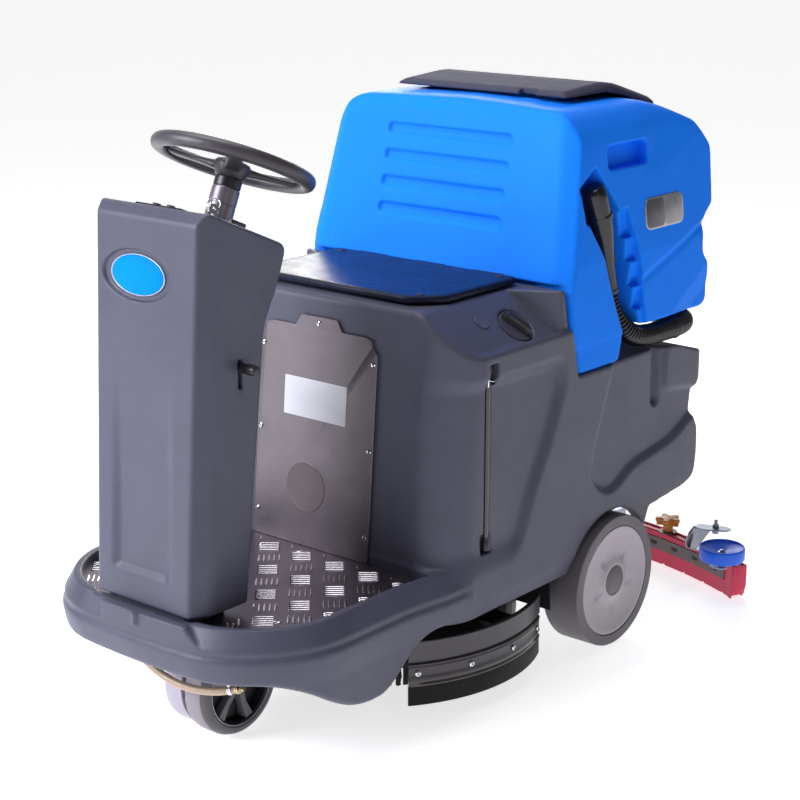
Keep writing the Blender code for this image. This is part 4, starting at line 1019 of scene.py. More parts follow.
# ---------------------------------------------------------------- platform, panel, seat and covers
def tread_outline(inset, steps=26):
    """The tread plate's outline: the platform's plan stepped in, closed behind by the seat box's wall."""
    half, front, arc = BUMPER_HALF - inset, BUMPER_FRONT + inset, BUMPER_ARC - inset
    rear = wall_y(0.285) - 0.002
    points = [(half, rear)]
    for k in range(steps + 1):
        a = (k / steps) * pi / 2
        points.append((half - arc + arc * cos(a), front + arc + BUMPER_CROWN * (half - arc) ** 2
                       - arc * sin(a)))
    for k in range(1, 9):
        x = (half - arc) * (1 - k / 9)
        points.append((x, front + BUMPER_CROWN * x * x))
    points.append((0.0, front))
    return points + [(-x, y) for x, y in points[-2::-1]]


def tread_plate():
    """The aluminium tread plate with its five-bar pattern, and its fixings."""
    base = prism(tread_outline(0.0445), "Z", PLATE_TOP - 0.0055, PLATE_TOP - 0.001)
    place("tread_sheet", base, "chassis", TREAD, ["tread_plate"])
    bars = []
    pitch_x, pitch_y, tilt = 0.085, 0.0945, radians(42)
    low = PLATE_TOP - 0.0011

    def on_plate(x, y):
        if y > -0.972 or abs(x) > 0.272:
            return False
        corner = hypot(max(abs(x) - 0.135, 0), max(-1.245 - y, 0))
        clear_of_column = abs(x) > 0.15 or y > -1.262
        return corner < 0.142 and y > -1.383 and clear_of_column

    def bar(x, y, angle, half=0.0205, wide=0.0027, tall=0.0021):
        c, s = cos(angle), sin(angle)
        rows = []
        for level, grow in ((0.0, 1.0), (tall * 0.6, 0.78), (tall, 0.35)):
            ring = []
            for k in range(12):
                a = 2 * pi * k / 12
                u = (half - wide * (1 - grow)) * np.sign(cos(a)) * abs(cos(a)) ** 0.8
                v = wide * grow * sin(a)
                ring.append((x + u * c - v * s, y + u * s + v * c, low + level))
            rows.append(ring)
        return loft(rows)
    for i in range(-5, 5):
        for j in range(-4, 4):
            for offset, angle in ((0.0, tilt), (0.5, tilt + pi / 2)):
                x0 = 0.0235 + pitch_x * (i + offset)
                y0 = -1.103 + pitch_y * (j + offset)
                for k in range(5):
                    x = x0 - sin(angle) * 0.0098 * (k - 2)
                    y = y0 + cos(angle) * 0.0098 * (k - 2)
                    ends = [(x + cos(angle) * s, y + sin(angle) * s) for s in (-0.02, 0.02)]
                    if on_plate(x, y) and all(on_plate(*e) for e in ends):
                        bars.append(bar(x, y, angle))
                    elif on_plate(x, y):
                        good = [e for e in ends if on_plate(*e)]
                        if good:
                            bars.append(bar((x + good[0][0]) / 2, (y + good[0][1]) / 2, angle, 0.01))
    # the bars take the lighter copy of the aluminium, a painted highlight on their raised tops
    place("tread_bars", merged(*bars), "chassis", TREAD_BAR_PAINTED_HIGHLIGHT, smooth=50)
    spots = [((x, y, PLATE_TOP - 0.001), (0, 0, 1)) for x, y in ((0.215, -1.277), (0.27, -0.992),
            (-0.215, -1.277), (-0.27, -0.992), (0.0, -0.99))]
    spots += [((-0.235, -1.3, PLATE_TOP - 0.001), (0, 0, 1))]
    screws("tread_screws", "chassis", spots, 0.0068)


def access_panel():
    """The brushed plate on the seat box's front, with its screws, a blank label and a blank disc."""
    outline = rounded(mm((-150, 285), (150, 285), (150, 690), (136, 704), (136, 714), (118, 719), (60, 719),
                         (46, 741), (-46, 741), (-60, 719), (-118, 719), (-136, 714), (-136, 704),
                         (-150, 690)), 0.004)
    rows = []
    for off, grow in ((0.0, 0.0), (-0.0022, 0.0), (-0.003, 0.0008)):
        rows.append([(x * (1 - grow / 0.15), wall_y(z) - 0.0006 + off, z if z < 0.29 else z
                      - grow * (z > 0.5)) for x, z in outline])
    place("panel_sheet", loft(rows), "chassis", STEEL, ["access_panel"])
    lean = Vector((0, -1, 0.084))
    spots = [((x, wall_y(z) - 0.0034, z), lean) for x, z in ((0.141, 0.672), (-0.141, 0.672), (0.141, 0.504),
            (-0.141, 0.504), (0.141, 0.335), (-0.141, 0.335), (0.0, 0.729))]
    screws("panel_screws", "chassis", spots, 0.0055)
    turn = spin(pi / 2 - 0.084, "X")
    label = moved(pill(0.08, 0.0385, 0.0007, 0.0002, 0.002), shift(-0.001, wall_y(0.579) - 0.0036, 0.579)
                  @ turn)
    place("panel_label", label, "chassis", LABEL)
    stamp = moved(turned(mm((0, 0), (50, 0), (50, 0.5), (49, 0.9), (47.5, 0.5), (0, 0.5)), 72),
                  shift(-0.016, wall_y(0.403) - 0.0034, 0.403) @ turn)
    place("panel_disc", stamp, "chassis", STRAP)


def seat():
    """The glossy black seat board with thick rounded edges, its fixings and the hinge behind it."""
    rim = rounded(mm((-234, -602, 12), (-234, -830, 20), (-186, -883, 20), (186, -883, 20), (234, -830, 20),
                     (234, -602, 12)), 0.01, 8)
    middle = Vector((0, -0.745))
    rows = []
    for z, inset in ((DECK + 0.0006, 0.004), (DECK + 0.002, 0.001), (DECK + 0.0045, 0.0), (DECK + 0.01, 0.0),
                     (DECK + 0.013, 0.0016), (DECK + 0.0148, 0.006), (DECK + 0.015, 0.013)):
        rows.append([(x * (1 - inset / 0.234), middle.y + (y - middle.y) * (1 - inset / 0.14), z)
                     for x, y in rim])
    place("seat_board", loft(rows), "seat_lid", GLOSS, ["seat_lid"])
    top = DECK + 0.015
    spots = [((x, y, top - 0.0004), (0, 0, 1)) for x, y in ((-0.19, -0.85), (0.19, -0.85), (-0.205, -0.625),
            (0.205, -0.625))]
    heads = [moved(turned(mm((0, 0), (8.5, 0), (8, 1.4), (6, 2.4), (3, 2), (0, 1.8)), 28), aim(at, toward))
             for at, toward in spots]
    place("seat_bolts", merged(*heads), "seat_lid", BLACK, smooth=40)
    leaves = []
    for x in (-0.15, 0.0, 0.15):
        leaves.append(moved(rod(0.0048, -0.036, 0.036, 20), shift(x, -0.5895, DECK + 0.0062)
                            @ spin(pi / 2, "Y")))
        leaves.append(block(x - 0.036, x + 0.036, -0.5895, -0.578, DECK + 0.0005, DECK + 0.0024))
    place("seat_hinge", bevelled(merged(*leaves), 0.0004, 1), "chassis", FRAME, ["seat_lid_hinge"], smooth=40)


def side_fittings():
    """On the left: the level tube with its clip and ends, the filler cap, and a blank moulded disc."""
    x = centre("level_tube").x - 0.012
    low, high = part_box("level_tube")
    y = -0.8235
    tube = turned([(0, low.z + 0.004), (0.0052, low.z + 0.004), (0.0052, high.z - 0.02), (0, high.z - 0.02)],
                  20)
    place("level_pipe", moved(tube, shift(x, y, 0)), "chassis", GAUGE, ["level_tube"], smooth=40)
    ends = [moved(turned(mm((0, 0), (8, 0), (8, 16), (6.2, 20), (5.8, 26), (0, 26)), 24),
                  shift(x, y, low.z - 0.004)), moved(turned(mm((0, 0), (5.8, 0), (6.2, 6), (8.2, 10),
            (8.2, 22), (7, 25), (0, 25)), 24), shift(x, y, high.z - 0.03))]
    place("level_ends", merged(*ends), "chassis", BLACK, smooth=40)
    clip = smooth_route([(x - 0.004, y - 0.0115, 0.66), (x + 0.0075, y - 0.0105, 0.657),
                         (x + 0.0115, y, 0.652), (x + 0.0085, y + 0.0115, 0.651),
                         (x - 0.004, y + 0.0125, 0.652)], 0.0015)
    clip2 = smooth_route([(x + 0.0085, y - 0.01, 0.672), (x + 0.0095, y - 0.01, 0.66),
                          (x + 0.0095, y - 0.0095, 0.642)], 0.002)
    place("level_clip", merged(sweep(clip, round_ring(0.001, 10)), sweep(clip2, round_ring(0.0012, 10))),
          "chassis", CHROME, smooth=50)
    seat_at = aim(FILL_AT + FILL_AXIS * -0.0125, FILL_AXIS)
    disc = turned(mm((0, 0), (37.2, 0), (37.2, 10), (35.5, 12.6), (33.5, 13), (32.5, 12), (30, 11.2),
                     (0, 11.2)), 72)
    place("filler_disc", moved(disc, seat_at), "fill_cap", LID, ["fill_cap"])
    down = Vector((0.768, 0, -0.64))
    along = (down * 0.89 + Vector((0, 1, 0)) * 0.46).normalized()
    across = FILL_AXIS.cross(along)
    rows = []
    for h, half, wide in ((0.0108, 0.0305, 0.0105), (0.014, 0.03, 0.0095), (0.022, 0.029, 0.0078),
                          (0.0262, 0.0275, 0.0066), (0.0278, 0.025, 0.0048)):
        ring = []
        for k in range(40):
            a = 2 * pi * k / 40
            u = half * np.sign(cos(a)) * abs(cos(a)) ** 0.55
            pinch = 1 - 0.28 * (1 - (u / half) ** 2)
            v = wide * pinch * np.sign(sin(a)) * abs(sin(a)) ** 0.55
            ring.append(tuple(FILL_AXIS * (h - 0.0125) + along * u + across * v + FILL_AT))
        rows.append(ring)
    place("filler_grip", loft(rows), "fill_cap", BLACK)
    blank = turned(mm((0, 0), (16.8, 0), (16.8, 1.4), (16, 1.9), (15.2, 1.6), (0, 1.6)), 48)
    at = Vector((0.279, -0.7785, 0.748))
    place("side_disc", moved(blank, aim(at, FILL_AXIS)), "chassis", SLATE)


def pedal():
    """The ribbed foot pedal on the right of the column, on its bracket."""
    low, high = [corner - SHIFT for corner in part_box("accelerator_pedal")]
    half = (high.x - low.x) / 2
    run, rise = high.y - low.y, high.z - low.z - 0.008
    length = hypot(run, rise) - 0.002
    tilt = spin(-atan2(rise, run), "X")
    seat_at = Vector(((low.x + high.x) / 2, (low.y + high.y) / 2, (low.z + high.z) / 2 - 0.004))
    plate = pill(half - 0.0005, length / 2, 0.008, 0.0018, 0.008)
    count = int((length - 0.024) / 0.0125)
    ribs = [moved(pill(half - 0.009, 0.0026, 0.0103, 0.0009, 0.002, 3), Matrix.Translation((0,
            0.0125 * (k - (count - 1) / 2), 0))) for k in range(count)]
    place("pedal_pad", moved(merged(plate, *ribs), Matrix.Translation(seat_at) @ tilt), "pedal", GRIP,
          ["accelerator_pedal"])
    pin = moved(rod(0.0045, -half - 0.004, half + 0.004, 20), shift(seat_at.x, high.y - 0.006, PLATE_TOP
            + 0.0062) @ spin(pi / 2, "Y"))
    ears = [block(seat_at.x + s * (half + 0.001), seat_at.x + s * (half + 0.004), high.y - 0.014, high.y
                  + 0.002, PLATE_TOP, PLATE_TOP + 0.012) for s in (-1, 1)]
    place("pedal_hinge", merged(pin, *ears), "chassis", FRAME, smooth=40)


def kept(node, look, ease):
    """A CAD part shown as it is, with eased edges and its material."""
    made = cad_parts[node]
    made.data.materials.clear()
    made.data.materials.append(look)
    for face in made.data.polygons:
        face.material_index = 0
    modifier = made.modifiers.new("ease", "BEVEL")
    modifier.width = ease
    modifier.segments = 2
    modifier.limit_method = "ANGLE"
    modifier.angle_limit = radians(35)
    made.data.shade_smooth()
    made.data.set_sharp_from_angle(angle=radians(38))


# ---------------------------------------------------------------- wheels
def along_x(at, sign=1):
    """The move that takes +Z to the machine's left (or right) at a place."""
    return Matrix.Translation(at) @ spin(sign * pi / 2, "Y")


def hub_disc(back, outer):
    """The rear wheel's moulded face: dished, with a boss at the centre and five shallow finger dimples."""
    profile = mm((116.8, -3.4), (115, -1.2), (112, -1), (108, -2), (98, -5.2), (86, -7.5), (74, -9),
                 (62, -9.5), (52, -8.6), (44, -6), (38, -3.6), (34.5, -2.6), (32.5, -2.8), (31.8, -6),
                 (0, -6))
    steps = 160
    rows = []
    for i in range(steps):
        a = 2 * pi * i / steps
        near = abs((a / (2 * pi) * 5 + 0.5) % 1 - 0.5) / 5 * 2 * pi
        ring = [Vector((0, 0, back)), Vector((0.1168 * cos(a), 0.1168 * sin(a), back))]
        for r, depth in profile:
            press = max(0.0, 1 - hypot(near * r / 0.013, (r - 0.058) / 0.013)) ** 0.6
            ring.append(Vector((r * cos(a), r * sin(a), outer + depth - 0.0045 * press)))
        rows.append(ring)
    shape = bmesh.new()
    verts = [[shape.verts.new(p) for p in ring] for ring in rows]
    for i in range(steps):
        here, after = verts[i], verts[(i + 1) % steps]
        for k in range(len(here) - 1):
            shape.faces.new((here[k], here[k + 1], after[k + 1], after[k]))
    bmesh.ops.remove_doubles(shape, verts=shape.verts, dist=1e-6)
    return closed(shape)


def rear_wheels():
    """Solid tyres on moulded hubs, each with a centre cap."""
    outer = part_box("rear_tyre_left")[1].x
    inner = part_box("rear_tyre_left")[0].x
    wide = outer - inner
    for side, sign in (("left", 1), ("right", -1)):
        at = (0, REAR_AXLE, REAR_R)
        seat = along_x(at, sign)
        tyre = turned([(0.117, inner + 0.004), (0.13, inner), (0.1375, inner + 0.003),
                       (REAR_R, inner + 0.008), (REAR_R, inner + wide * 0.5), (REAR_R, outer - 0.0045),
                       (0.1396, outer - 0.002), (0.1382, outer - 0.0006), (0.135, outer),
                       (0.119, outer - 0.001), (0.1178, outer - 0.0022), (0.117, outer - 0.004)], 160)
        place("rear_tread_" + side, moved(tyre, seat), "rear_wheel_" + side, TYRE, ["rear_tyre_" + side],
              smooth=30)
        hub = hub_disc(inner + 0.006, outer)
        place("rear_disc_" + side, moved(hub, seat), "rear_wheel_" + side, HUB, ["rear_hub_" + side],
              smooth=40)
        cap = turned([(0, outer - 0.0075), (0.0312, outer - 0.0075), (0.0312, outer - 0.004),
                      (0.03, outer - 0.003), (0, outer - 0.0022)], 64)
        place("rear_cap_" + side, moved(cap, seat), "rear_wheel_" + side, CAP, smooth=40)


def drive_wheel():
    """The powered front wheel: two-tone tyre, thin rim line, hub with tapered spokes, and the motor drum."""
    low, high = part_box("drive_tyre")
    at = (0, DRIVE_AT.y, DRIVE_AT.z)
    seat = along_x(at)
    x0, x1, r = low.x, high.x, DRIVE_AT.z
    tread = turned([(0.079, x0 + 0.0015), (0.094, x0), (r - 0.001, x0 + 0.004), (r, x0 + 0.01),
                    (r, x1 - 0.016), (r - 0.0012, x1 - 0.0135), (0.079, x1 - 0.0135)], 128)
    place("drive_tread", moved(tread, seat), "drive_wheel", TREAD_BAND, ["drive_tyre"])
    wall = turned([(0.0795, x1 - 0.0133), (r - 0.0012, x1 - 0.0133), (r - 0.004, x1 - 0.006),
                   (0.09, x1 - 0.001), (0.083, x1), (0.0795, x1 - 0.002)], 128)
    place("drive_sidewall", moved(wall, seat), "drive_wheel", DARK_TYRE)
    line = turned([(0.0778, x1 - 0.006), (0.0794, x1 - 0.006), (0.0794, x1 - 0.0012), (0.0786, x1 - 0.0006),
                   (0.0778, x1 - 0.0014)], 96)
    place("drive_rim_line", moved(line, seat), "drive_wheel", HUB, smooth=40)
    disc = turned([(0, x0 + 0.004), (0.0788, x0 + 0.004), (0.0776, x1 - 0.004), (0.074, x1 - 0.007),
                   (0.072, x1 - 0.026), (0.024, x1 - 0.026), (0.022, x1 - 0.01), (0.019, x1 - 0.0075),
                   (0.0, x1 - 0.0075)], 96)
    place("drive_disc", moved(disc, seat), "drive_wheel", FRAME, ["drive_hub"])
    spokes = []
    for k in range(6):
        rows = []
        for radius, half, top in ((0.016, 0.0085, 0.0085), (0.045, 0.0075, 0.01), (0.0745, 0.0125, 0.006)):
            rows.append([(radius, -half, x1 - 0.0255), (radius, half, x1 - 0.0255),
                         (radius, half * 0.75, x1 - top), (radius, -half * 0.75, x1 - top)])
        spokes.append(moved(bevelled(loft(rows), 0.001, 2), spin(2 * pi * k / 6 + 0.3, "Z")))
    nut = turned([(0, x1 - 0.008), (0.0085, x1 - 0.008), (0.008, x1 - 0.003), (0, x1 - 0.0024)], 6)
    place("drive_spokes", moved(merged(*spokes), seat), "drive_wheel", TYRE, smooth=40)
    place("drive_nut", moved(nut, seat), "drive_wheel", CHROME, smooth=30)
    drum = turned(mm((10.5, -51.8), (80, -51.8), (88, -50), (92.5, -45.5), (93.8, -40), (93.8, -5),
                     (93, -2.5), (90.5, -1.5), (10.5, -1.5)), 96)
    place("motor_drum", moved(drum, seat), "fork", MOTOR, ["drive_motor"])
    # a dark ring fills the narrow gap between motor drum and tyre: painted shade where the gap is
    gap = turned([(0.03, 0.0002), (0.088, 0.0002), (0.088, x0 + 0.0012), (0.03, x0 + 0.0012)], 64)
    place("motor_gap_shade", moved(gap, seat), "fork", FRAME, smooth=40)


def water_hose():
    """The sagging tan hose in front of the drive wheel, with its clamp and brass fitting."""
    points = []
    for k in range(17):
        t = k / 16
        points.append((-0.115 + 0.28 * t, -1.35 + 0.015 * (2 * t - 1) ** 2, 0.1365 + 0.135 * (t - 0.58) ** 2))
    route = smooth_route(points, 0.004)
    place("water_line", sweep(route, round_ring(0.0074, 20)), "chassis", TAN, ["water_hose"], smooth=60)
    ends = []
    for end, toward in ((route[-1], route[-1] - route[-3]), (route[0], route[0] - route[2])):
        ends.append(moved(turned(mm((7.2, -16), (8.8, -16), (8.8, -8), (7.2, -8)), 28), aim(end, toward)))
        ends.append(moved(bevelled(block(-0.004, 0.004, 0.008, 0.0135, -0.0155, -0.0085), 0.0008, 1),
                          aim(end, toward)))
    place("hose_clamps", merged(*ends), "chassis", CHROME, smooth=40)
    barb = turned(mm((0, -6), (6, -6), (6.6, 0), (9.2, 1), (9.2, 8), (6, 9), (6, 18), (0, 18)), 6)
    barb = moved(barb, aim(route[-1], route[-1] - route[-3]))
    place("hose_fitting", barb, "chassis", BRASS, smooth=30)


# ---------------------------------------------------------------- the brush gear
SKIRT_FROM, SKIRT_TO = -radians(38.2), radians(24.0)


def arc_profile(profile, start, end, steps=72):
    """A closed (radius, height) outline swept about the brush's centre between two angles."""
    rows = []
    for i in range(steps + 1):
        a = start + (end - start) * i / steps
        rows.append([(r * cos(a), BRUSH_Y + r * sin(a), z) for r, z in profile])
    return loft(rows)


def skirts():
    """The deck's side skirts: grooved upper band, clamping strip with screws, glossy lip and rubber below."""
    r = 0.3502
    band_profile = [(r - 0.01, 0.086), (r - 0.0012, 0.086), (r + 0.0004, 0.088), (r + 0.0004, 0.0905),
                    (r - 0.001, 0.0925), (r - 0.001, 0.109), (r - 0.0002, 0.1105), (r - 0.0002, 0.1125),
                    (r - 0.0012, 0.114), (r + 0.0006, 0.1165), (r + 0.0006, 0.1185), (r - 0.0008, 0.12),
                    (r - 0.005, 0.1212), (r - 0.005, 0.1245), (r, 0.1262), (r, 0.164), (r - 0.0012, 0.1655),
                    (r - 0.0095, 0.1655), (r - 0.01, 0.164)]
    lip = [(r - 0.0085, 0.074), (r - 0.002, 0.074), (r + 0.0004, 0.0752), (r + 0.0006, 0.0775),
           (r - 0.0014, 0.08), (r - 0.0022, 0.0828), (r - 0.0012, 0.0858), (r - 0.0085, 0.0858)]
    flap = [(r - 0.0085, 0.034), (r - 0.003, 0.034), (r - 0.0022, 0.0352), (r - 0.0026, 0.0738),
            (r - 0.0085, 0.0738)]
    strip = [(r + 0.0002, 0.0744), (r + 0.0009, 0.075), (r + 0.0009, 0.0762), (r + 0.0002, 0.0768)]
    for side, sign in (("left", 1), ("right", -1)):
        for name, profile, trim, more, look, smooth in (("skirt_band_", band_profile, 0, 0, SKIRT, 35),
                ("skirt_lip_", lip, 0, 0, SKIRT_GLOSS, 50), ("skirt_strip_", strip, 0.01, -0.01, STRAP, 50),
                ("skirt_flap_", flap, 0, 0.03, FLAP, 35)):
            mesh = sided(arc_profile(profile, SKIRT_FROM + trim, SKIRT_TO + more), sign)
            place(name + side, mesh, "deck", look, ["skirt_" + side] if look == SKIRT else (), smooth=smooth)
        spots = [((sign * r * cos(a), BRUSH_Y + r * sin(a), 0.1005), (sign * cos(a), sin(a), 0))
                 for a in (-0.615, -0.29, 0.04, 0.36)]
        screws("skirt_screws_" + side, "deck", spots, 0.0056)


def apron_and_underbody_shade():
    """The dark rubber apron across the machine behind the brush, which also paints the shade under the body
    where the space behind the skirts would otherwise show through.
    """
    low, high, y = 0.118, 0.262, -0.596
    rows = []
    for z in np.linspace(low, high, 9):
        back = 0.006 * ((high - z) / (high - low)) ** 2
        rows.append([(-0.318, y + back, z), (0.318, y + back, z), (0.318, y + back + 0.003, z),
                     (-0.318, y + back + 0.003, z)])
    place("apron_and_underbody_shade", bevelled(loft(rows), 0.0006, 1), "chassis", FLAP, smooth=40)


def brush():
    """The disc brush: a moulded block with its rows of bristle tufts."""
    seat = shift(0, BRUSH_Y, 0)
    disc = turned(mm((0, 72), (252, 72), (258, 76), (258, 84), (250, 88), (190, 88), (180, 91), (60, 92),
                     (45, 94), (17.5, 96.5), (17.5, 160), (0, 160)), 96)
    place("brush_block", moved(disc, seat), "brush", BLACK, ["brush_disc"])
    tufts = []
    for radius, count in ((0.24, 94), (0.224, 86), (0.208, 80), (0.186, 72), (0.162, 62), (0.136, 52),
                          (0.108, 40)):
        for k in range(count):
            a = 2 * pi * (k + random.random() * 0.25) / count
            lean = 0.1 + 0.03 * random.random()
            reach = 0.04
            top = Vector((radius * cos(a), radius * sin(a), 0.074))
            out = Vector((cos(a), sin(a), 0))
            tip = top + out * (lean * reach + 0.002 * random.random()) + Vector((0, 0, -reach))
            spread = 0.0052 + 0.0012 * random.random()
            rows = []
            for point, wide in ((top, 0.003), (tip, spread)):
                ripple = 0.0012 * (wide > 0.004)
                rows.append([point + Vector((wide * cos(t), wide * sin(t), ripple * sin(3 * t + k)))
                             for t in [2 * pi * n / 7 for n in range(7)]])
            tufts.append(loft(rows))
    place("brush_bristles", moved(merged(*tufts), seat), "brush", BRISTLE, smooth=40)


# ---------------------------------------------------------------- the squeegee
def sweep_y(x):
    """The squeegee's swept front face over x."""
    return 0.06 - 0.58 * x * x


def straight_back(x):
    """The direction square to the squeegee's swept front face at x."""
    return Vector((1.16 * x, 1, 0)).normalized()


def swept(profile, half, steps=72):
    """A closed (offset behind the front face, height) outline swept along the squeegee's curve."""
    rows = []
    for i in range(steps + 1):
        x = -half + 2 * half * i / steps
        n = straight_back(x)
        rows.append([(x + n.x * d, sweep_y(x) + n.y * d, z) for d, z in profile])
    return loft(rows)


def notched_blade(name, offset, replaces_node):
    """A rubber blade with small notches along its lower edge, and slanted ends."""
    thick, top, low = 0.0034, 0.078, 0.003
    half, steps = (0.4325 if offset < 0.01 else 0.426), 260
    rows = []
    for i in range(steps + 1):
        x = -half + 2 * half * i / steps
        near = abs((x + 0.0325) % 0.065 - 0.0325)
        lift = 0.0045 * max(0.0, 1 - near / 0.0035)
        skew = 0.01 * max(0.0, (abs(x) - 0.405) / 0.0275)
        n = straight_back(x)
        rows.append([(x + n.x * d - np.sign(x) * (skew if z < 0.03 else 0), sweep_y(x) + n.y * d, z)
                     for d, z in ((offset, low + lift), (offset, top), (offset + thick, top),
                (offset + thick, low + lift))])
    place(name, bevelled(loft(rows), 0.0004, 1, 50), "squeegee", BLADE, [replaces_node], smooth=40)


def squeegee():
    """The swept squeegee: channel, blades, slotted straps, star knobs, brackets, rollers and spigot."""
    depth = 0.04
    channel = [(0.0062, 0.04), (0.0062, 0.08), (0.0105, 0.08), (0.012, 0.0765), (depth - 0.012, 0.0765),
               (depth - 0.0105, 0.08), (depth - 0.0062, 0.08), (depth - 0.0062, 0.04), (depth - 0.009, 0.04),
               (depth - 0.009, 0.073), (0.009, 0.073), (0.009, 0.04)]
    place("squeegee_channel", swept(channel, 0.4195), "squeegee", CRIMSON, ["squeegee_body"])
    notched_blade("blade_front", 0.0026, "squeegee_front_blade")
    notched_blade("blade_rear", depth - 0.006, "squeegee_rear_blade")
    for name, sign in (("squeegee_end_left", 1), ("squeegee_end_right", -1)):
        rows = []
        for z, out in ((0.006, 0.419), (0.03, 0.426), (0.077, 0.426)):
            rows.append([(out + 0.45 * back + side, sweep_y(out) + 0.894 * back, z)
                         for back, side in ((0.002, 0.0), (0.038, 0.0), (0.038, -0.004), (0.002, -0.004))])
        cap = bevelled(loft(rows), 0.0006, 1)
        place(name, sided(cap, sign), "squeegee", BLADE, smooth=40)
    for side, offset in (("front", 0.0008), ("rear", depth - 0.0024)):
        strap = [(offset, 0.0362), (offset, 0.0658), (offset + 0.0016, 0.0658), (offset + 0.0016, 0.0362)]
        place("strap_" + side, bevelled(swept(strap, 0.396), 0.0004, 1, 50), "squeegee", STRAP,
              ["squeegee_" + side + "_strap"])
        # the strap's slots are not cut through: thin dark plates on its face paint the shade of the holes
        slots = []
        face = offset if side == "front" else offset + 0.0016
        for x in [-0.36 + 0.0655 * k for k in range(12)]:
            back = straight_back(x)
            n = back * (1 if side == "rear" else -1)
            dark = moved(pill(0.0105, 0.0046, 0.0008, 0.0003, 0.0044, 5), aim((x, sweep_y(x), 0.051), n))
            slots.append(moved(dark, Matrix.Translation(back * face + n * -0.0004)))
        place("strap_slot_shades_" + side, merged(*slots), "squeegee", FRAME, smooth=40)
    spigot_at = (0, 0.06 + 0.0185, 0)
    spigot = turned(mm((16.5, 80.3), (20.5, 80.3), (20.5, 118), (19.2, 120), (20.5, 122), (20.5, 146),
                       (19.2, 150), (17, 150), (16.5, 148)), 48)
    place("spigot_tube", moved(spigot, Matrix.Translation(spigot_at)), "squeegee", BLACK, ["suction_spigot"])
    for side, sign in (("left", 1), ("right", -1)):
        knob_x = sign * 0.195
        knob_y = sweep_y(0.195) + 0.018
        decks = []
        for low, high, size in ((0.0985, 0.1055, 0.92), (0.1065, 0.116, 1.0)):
            rows = []
            for z, inset in ((low, 0.0012), (low + 0.0012, 0.0), (high - 0.0015, 0.0), (high, 0.0016)):
                ring = []
                for k in range(80):
                    a = 2 * pi * k / 80
                    lobe = cos(5 * a)
                    radius = (0.0215 + 0.0085 * np.sign(lobe) * abs(lobe) ** 0.6) * size - inset
                    ring.append((radius * cos(a), radius * sin(a), z))
                rows.append(ring)
            decks.append(loft(rows))
        stem = turned(mm((0, 83.5), (12.5, 83.5), (11.5, 95.5), (15, 99), (15, 116), (12, 116.8), (0, 116.8)),
                      40)
        place("knob_" + side, moved(merged(*decks, stem), shift(knob_x, knob_y, 0)), "star_knob_" + side,
              AMBER, ["star_knob_" + side])
        washer = turned(mm((0, 80.3), (21, 80.3), (21.4, 81.5), (21, 82.8), (0, 82.8)), 48)
        place("knob_washer_" + side, moved(washer, shift(knob_x, knob_y, 0)), "squeegee", STRAP)
        roller_at = shift(sign * 0.41, -0.067, 0)
        dish = turned(mm((6.2, 101), (44, 100.2), (48.5, 101.5), (50, 104), (50, 126.2), (49.2, 129),
                         (48, 130), (46.8, 129.6), (45.6, 126.2), (40, 123.5), (16, 119.5), (11, 116.5),
                         (6.2, 116.5)), 96)
        bolt = turned(mm((0, 83.4), (6.1, 83.4), (6.1, 116.8), (8.5, 116.8), (8.5, 118), (5.6, 118.6),
                         (5.2, 121.5), (3.6, 122.6), (0, 122.6)), 32)
        place("roller_" + side, moved(dish, roller_at), "end_roller_" + side, ROLLER, ["end_roller_" + side])
        place("roller_bolt_" + side, moved(bolt, roller_at), "end_roller_" + side, ZINC)
        # the bent bracket: a foot under the roller, a riser, and a top plate with an upright bolt
        foot = prism(rounded(mm((285, -11), (330, -12), (396, -86, 10), (424, -79, 10), (424, -55, 10),
                (346, 12), (285, 11)), 0.004), "Z", 0.0805, 0.0833)
        riser = loft([mm((286, -13, 80.5), (289, -13, 83.5), (289, 9, 83.5), (286, 9, 80.5)),
                      mm((289, -24, 100), (292, -24, 99), (294, 8, 99), (291, 8, 100)),
                      mm((300, -30, 126), (303, -30, 124.5), (306, 9, 124.5), (303, 9, 126)),
                      mm((304, -14, 138.4), (306.5, -14, 135), (306.5, 10, 135), (304, 10, 138.4))])
        top = prism(rounded(mm((304, -14), (330, -20, 10), (381, 8, 12), (380, 26, 12), (362, 30, 12),
                (304, 10)), 0.004, 6), "Z", 0.135, 0.1384)
        fold = loft([mm((309, -16, 135), (345, -10, 135), (345, -8.5, 135), (309, -14.5, 135)),
                     mm((296, -12, 83.5), (311, -12, 83.5), (311, -10.5, 83.5), (296, -10.5, 83.5))])
        bolt_at = shift(0.346, 0.012, 0)
        pin = moved(turned(mm((0, 124), (4, 124), (4, 154), (3.2, 156), (0, 156)), 20), bolt_at)
        nut = moved(turned(mm((0, 138.4), (8, 138.4), (8, 144), (6.8, 145.5), (0, 145.5)), 6), bolt_at)
        under = moved(turned(mm((0, 124), (8.5, 124), (8.5, 135), (0, 135)), 6), bolt_at)
        cap = moved(turned(mm((0, 79), (8.5, 79), (8.5, 80.5), (0, 80.5)), 6), shift(0.41, -0.067, 0))
        foot_screw = moved(screw(0.0055)[0], shift(0.32, 0.0, 0.0833))
        mesh = bevelled(merged(foot, riser, top, fold, pin, nut, under, cap, foot_screw), 0.0005, 1)
        place("bracket_" + side, sided(mesh, sign), "squeegee", ZINC, ["roller_bracket_" + side])


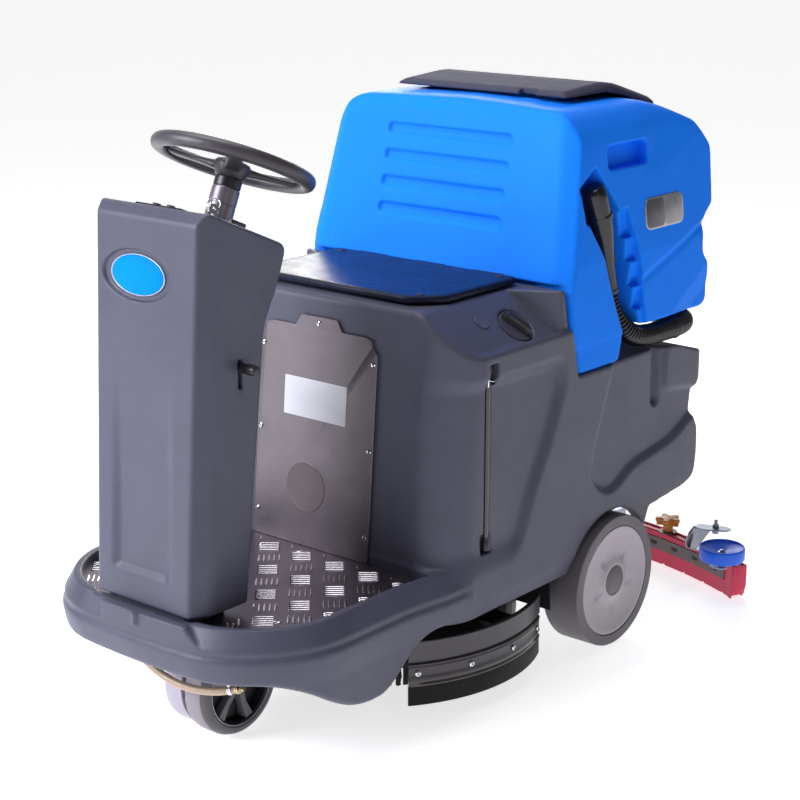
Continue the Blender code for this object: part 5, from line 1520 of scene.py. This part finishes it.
# ---------------------------------------------------------------- the machine inside and underneath
def machinery():
    """The frame, axle, deck, motors, pumps, batteries and linkage keep their CAD shapes, with eased edges."""
    for node, look, ease in (("chassis_frame", FRAME, 0.0015), ("rear_axle", STEEL, 0.0008),
            ("deck_lift_actuator", ZINC, 0.0012), ("brush_deck", FRAME, 0.002), ("brush_motor", FRAME, 0.003),
            ("lower_shaft", STEEL, 0.0008), ("steering_fork", FRAME, 0.0015),
            ("squeegee_swivel", FRAME, 0.0015), ("squeegee_arm", ZINC, 0.0012), ("battery_left", CASE, 0.005),
            ("battery_right", CASE, 0.005), ("vacuum_motor", FRAME, 0.004), ("solution_pump", BLACK, 0.0025),
            ("motor_controller", CASE, 0.0025)):
        kept(node, look, ease)


bpy.context.scene.view_settings.view_transform = "Standard"
for build in (camera, studio, main_body, column_cover, emblem, dash, lever, steering, recovery_tank, tank_lid,
              badge, drain, tread_plate, access_panel, seat, side_fittings, pedal, rear_wheels, drive_wheel,
              water_hose, skirts, apron_and_underbody_shade, brush, squeegee, machinery):
    build()
